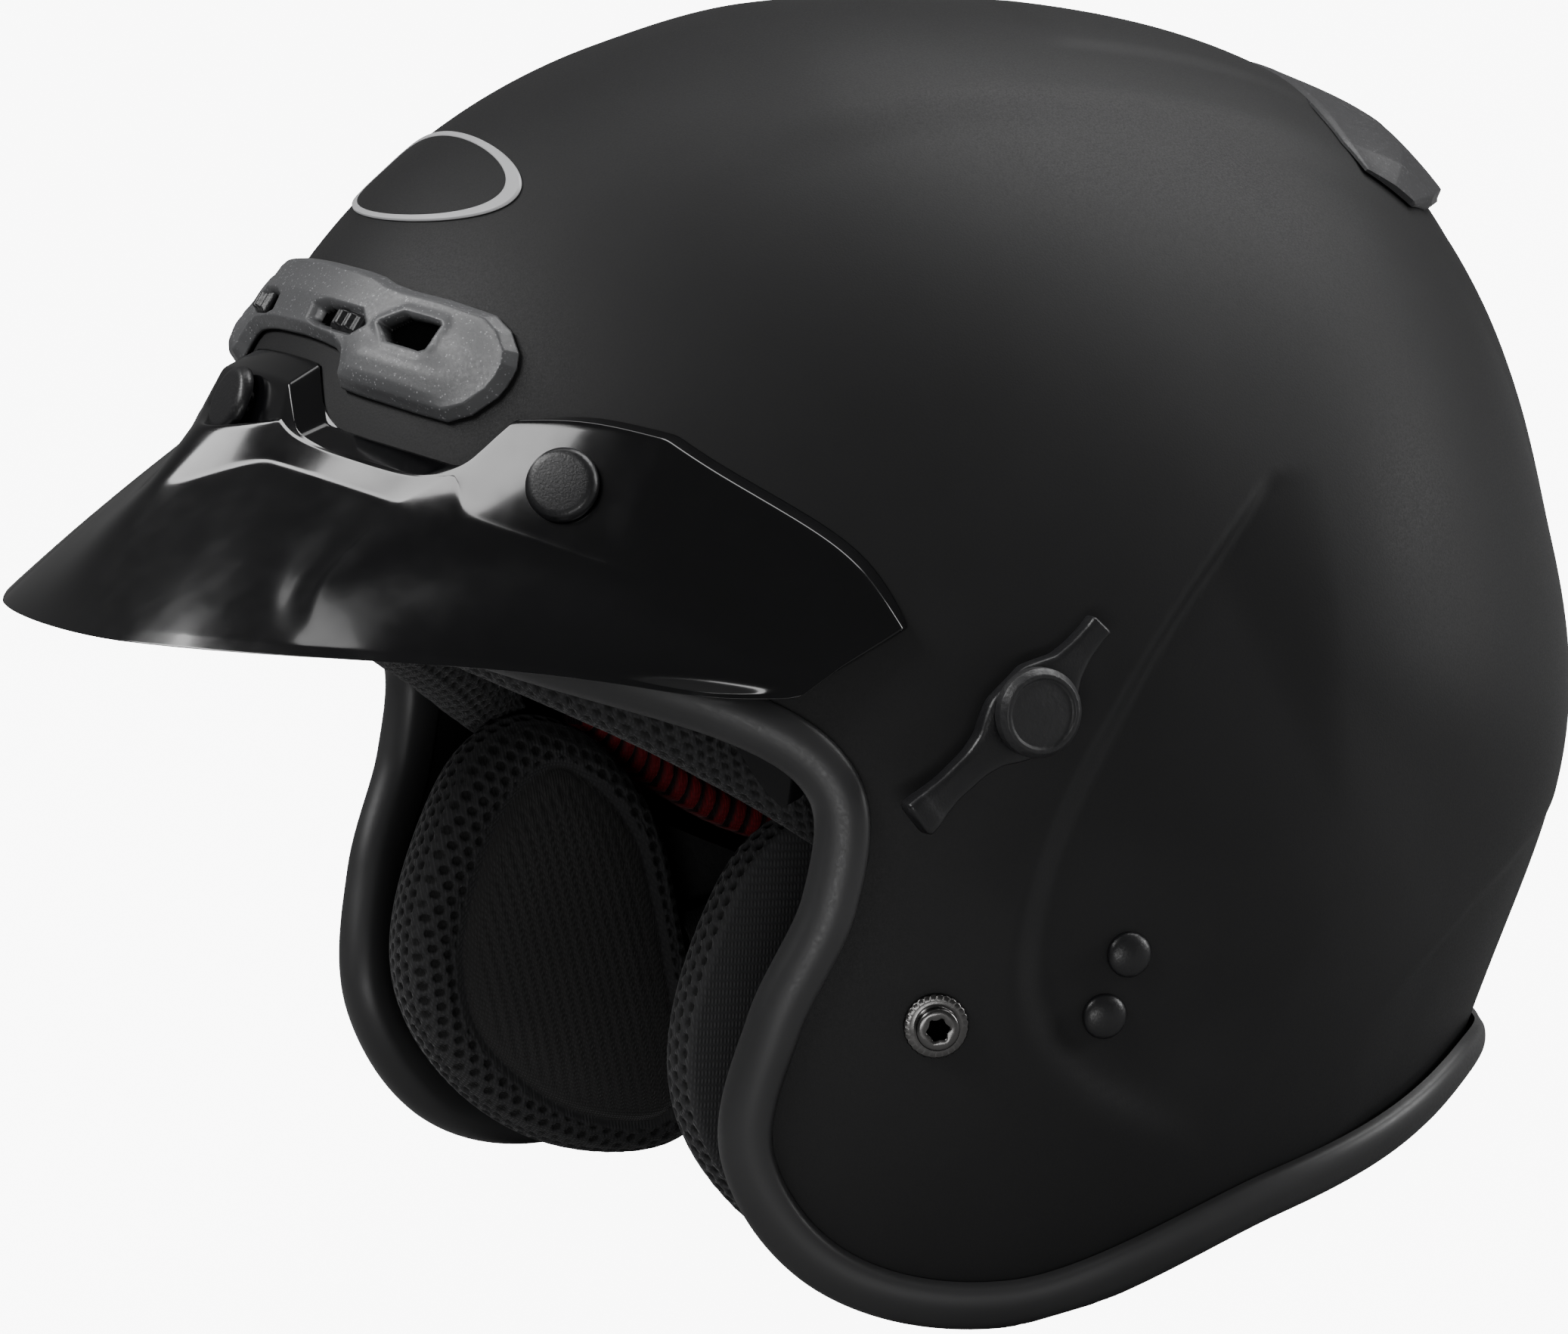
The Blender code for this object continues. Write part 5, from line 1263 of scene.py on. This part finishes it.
def dress_kept():
    """Materials for the solids that are shown as they are."""
    for name, material in KEPT.items():
        kept = bpy.data.objects.get(name)
        if kept is None:
            print("missing", name)
            continue
        kept.data.materials.clear()
        kept.data.materials.append(material)


# ---------------------------------------------------------------- camera, light and floor

CAMERA_TURN, CAMERA_TILT, CAMERA_ROLL = (math.radians(a) for a in (26.919, -1.706, 18.993))
CAMERA_DISTANCE = 1800.0
SENSOR_WIDTH, FOCAL_LENGTH = 36.0, 202.336
SHIFT_X, SHIFT_Y = -0.140442, 0.017574
AIM = np.array([0.0, 0.0, 125.0])
AMBIENT, BACKDROP = 0.13, 9.0
ACROSS = (1.0, 0.0, 0.0)
UPRIGHT = (0.0, 0.0, 1.0)


def camera_frame():
    """The camera's right, up and back directions and its place, all as the helmet stands."""
    flat = math.cos(CAMERA_TILT)
    back = np.array([math.cos(CAMERA_TURN) * flat, -math.sin(CAMERA_TURN) * flat, math.sin(CAMERA_TILT)])
    right = np.array([math.sin(CAMERA_TURN), math.cos(CAMERA_TURN), 0.0])
    up = np.cross(back, right)
    if up[2] < 0:
        up = -up
    r = math.cos(CAMERA_ROLL) * right + math.sin(CAMERA_ROLL) * up
    u = -math.sin(CAMERA_ROLL) * right + math.cos(CAMERA_ROLL) * up
    return turn(r), turn(u), turn(back), stand(AIM + back * CAMERA_DISTANCE)


def pose(made, x, y, z, at):
    """Puts an object at a place with its axes along three directions."""
    m = Matrix.Identity(4)
    for row in range(3):
        m[row][0], m[row][1], m[row][2], m[row][3] = x[row], y[row], z[row], at[row]
    made.matrix_world = m


def place_camera():
    """The photograph's camera."""
    data = bpy.data.cameras.new("camera")
    made = link_object("camera", data)
    pose(made, *camera_frame())
    data.sensor_width, data.lens = SENSOR_WIDTH, FOCAL_LENGTH
    data.shift_x, data.shift_y = SHIFT_X, SHIFT_Y
    data.clip_end = 30.0
    bpy.context.scene.camera = made


def lamp(name, direction, distance, size, power, along=UPRIGHT):
    """Area light placed by its direction in the picture: right, up and towards the camera."""
    r, u, back, _ = camera_frame()
    d = unit(r * direction[0] + u * direction[1] + back * direction[2])
    x = r * along[0] + u * along[1] + back * along[2]
    x = unit(x - d * (x @ d))
    data = bpy.data.lights.new(name, "AREA")
    data.shape = "RECTANGLE"
    data.size, data.size_y = size
    data.energy = power
    pose(link_object(name, data), x, np.cross(d, x), d, stand(AIM) + d * distance)


def light_room():
    """A dim room that the camera sees as white, and five area lights."""
    world = bpy.data.worlds.new("studio")
    world.use_nodes = True
    tree = world.node_tree
    base = tree.nodes["Background"]
    white = tree.nodes.new("ShaderNodeBackground")
    for background, strength in ((base, AMBIENT), (white, BACKDROP)):
        background.inputs["Color"].default_value = (1, 1, 1, 1)
        background.inputs["Strength"].default_value = strength
    path = tree.nodes.new("ShaderNodeLightPath")
    mixer = tree.nodes.new("ShaderNodeMixShader")
    tree.links.new(path.outputs["Is Camera Ray"], mixer.inputs["Fac"])
    tree.links.new(base.outputs[0], mixer.inputs[1])
    tree.links.new(white.outputs[0], mixer.inputs[2])
    tree.links.new(mixer.outputs[0], tree.nodes["World Output"].inputs["Surface"])
    bpy.context.scene.world = world
    lamp("left_strip", (-0.61, 0.545, 0.28), 1.1, (1.2, 0.24), 10)
    lamp("top_soft", (0.40, 0.91, -0.10), 1.2, (0.9, 0.6), 11, ACROSS)
    lamp("ridge_glow", (-0.22, 0.97, -0.06), 1.2, (0.60, 0.30), 1.6, ACROSS)
    lamp("right_strip", (0.98, 0.15, 0.05), 1.2, (0.3, 1.2), 14)
    lamp("low_fill", (0.0, -0.3, 0.95), 1.9, (0.9, 0.5), 13, ACROSS)


def lay_floor():
    """Floor under the helmet, which the camera sees as white."""
    size = 3.0
    mesh = bpy.data.meshes.new("floor")
    mesh.from_pydata([(-size, -size, 0), (size, -size, 0), (size, size, 0), (-size, size, 0)], [],
                     [[0, 1, 2, 3]])
    made = link_object("floor", mesh)
    pale = bpy.data.materials.new("pale_floor")
    pale.use_nodes = True
    shader = pale.node_tree.nodes["Principled BSDF"]
    shader.inputs["Base Color"].default_value = (0.30, 0.30, 0.30, 1)
    shader.inputs["Roughness"].default_value = 0.9
    shader.inputs["Emission Color"].default_value = (1, 1, 1, 1)
    tree = pale.node_tree
    path = tree.nodes.new("ShaderNodeLightPath")
    glow = tree.nodes.new("ShaderNodeMath")
    glow.operation = "MULTIPLY"
    glow.inputs[1].default_value = BACKDROP
    tree.links.new(path.outputs["Is Camera Ray"], glow.inputs[0])
    tree.links.new(glow.outputs[0], shader.inputs["Emission Strength"])
    mesh.materials.append(pale)


build_shell()
build_peak()
build_peak_caps()
build_brow_vent()
build_rear_vent()
build_badge()
build_lens()
build_lever()
build_fittings()
build_cheek_pads()
build_rolls()
build_crown()
build_band()
build_straps()
dress_kept()
place_camera()
light_room()
lay_floor()
bpy.context.view_layer.update()
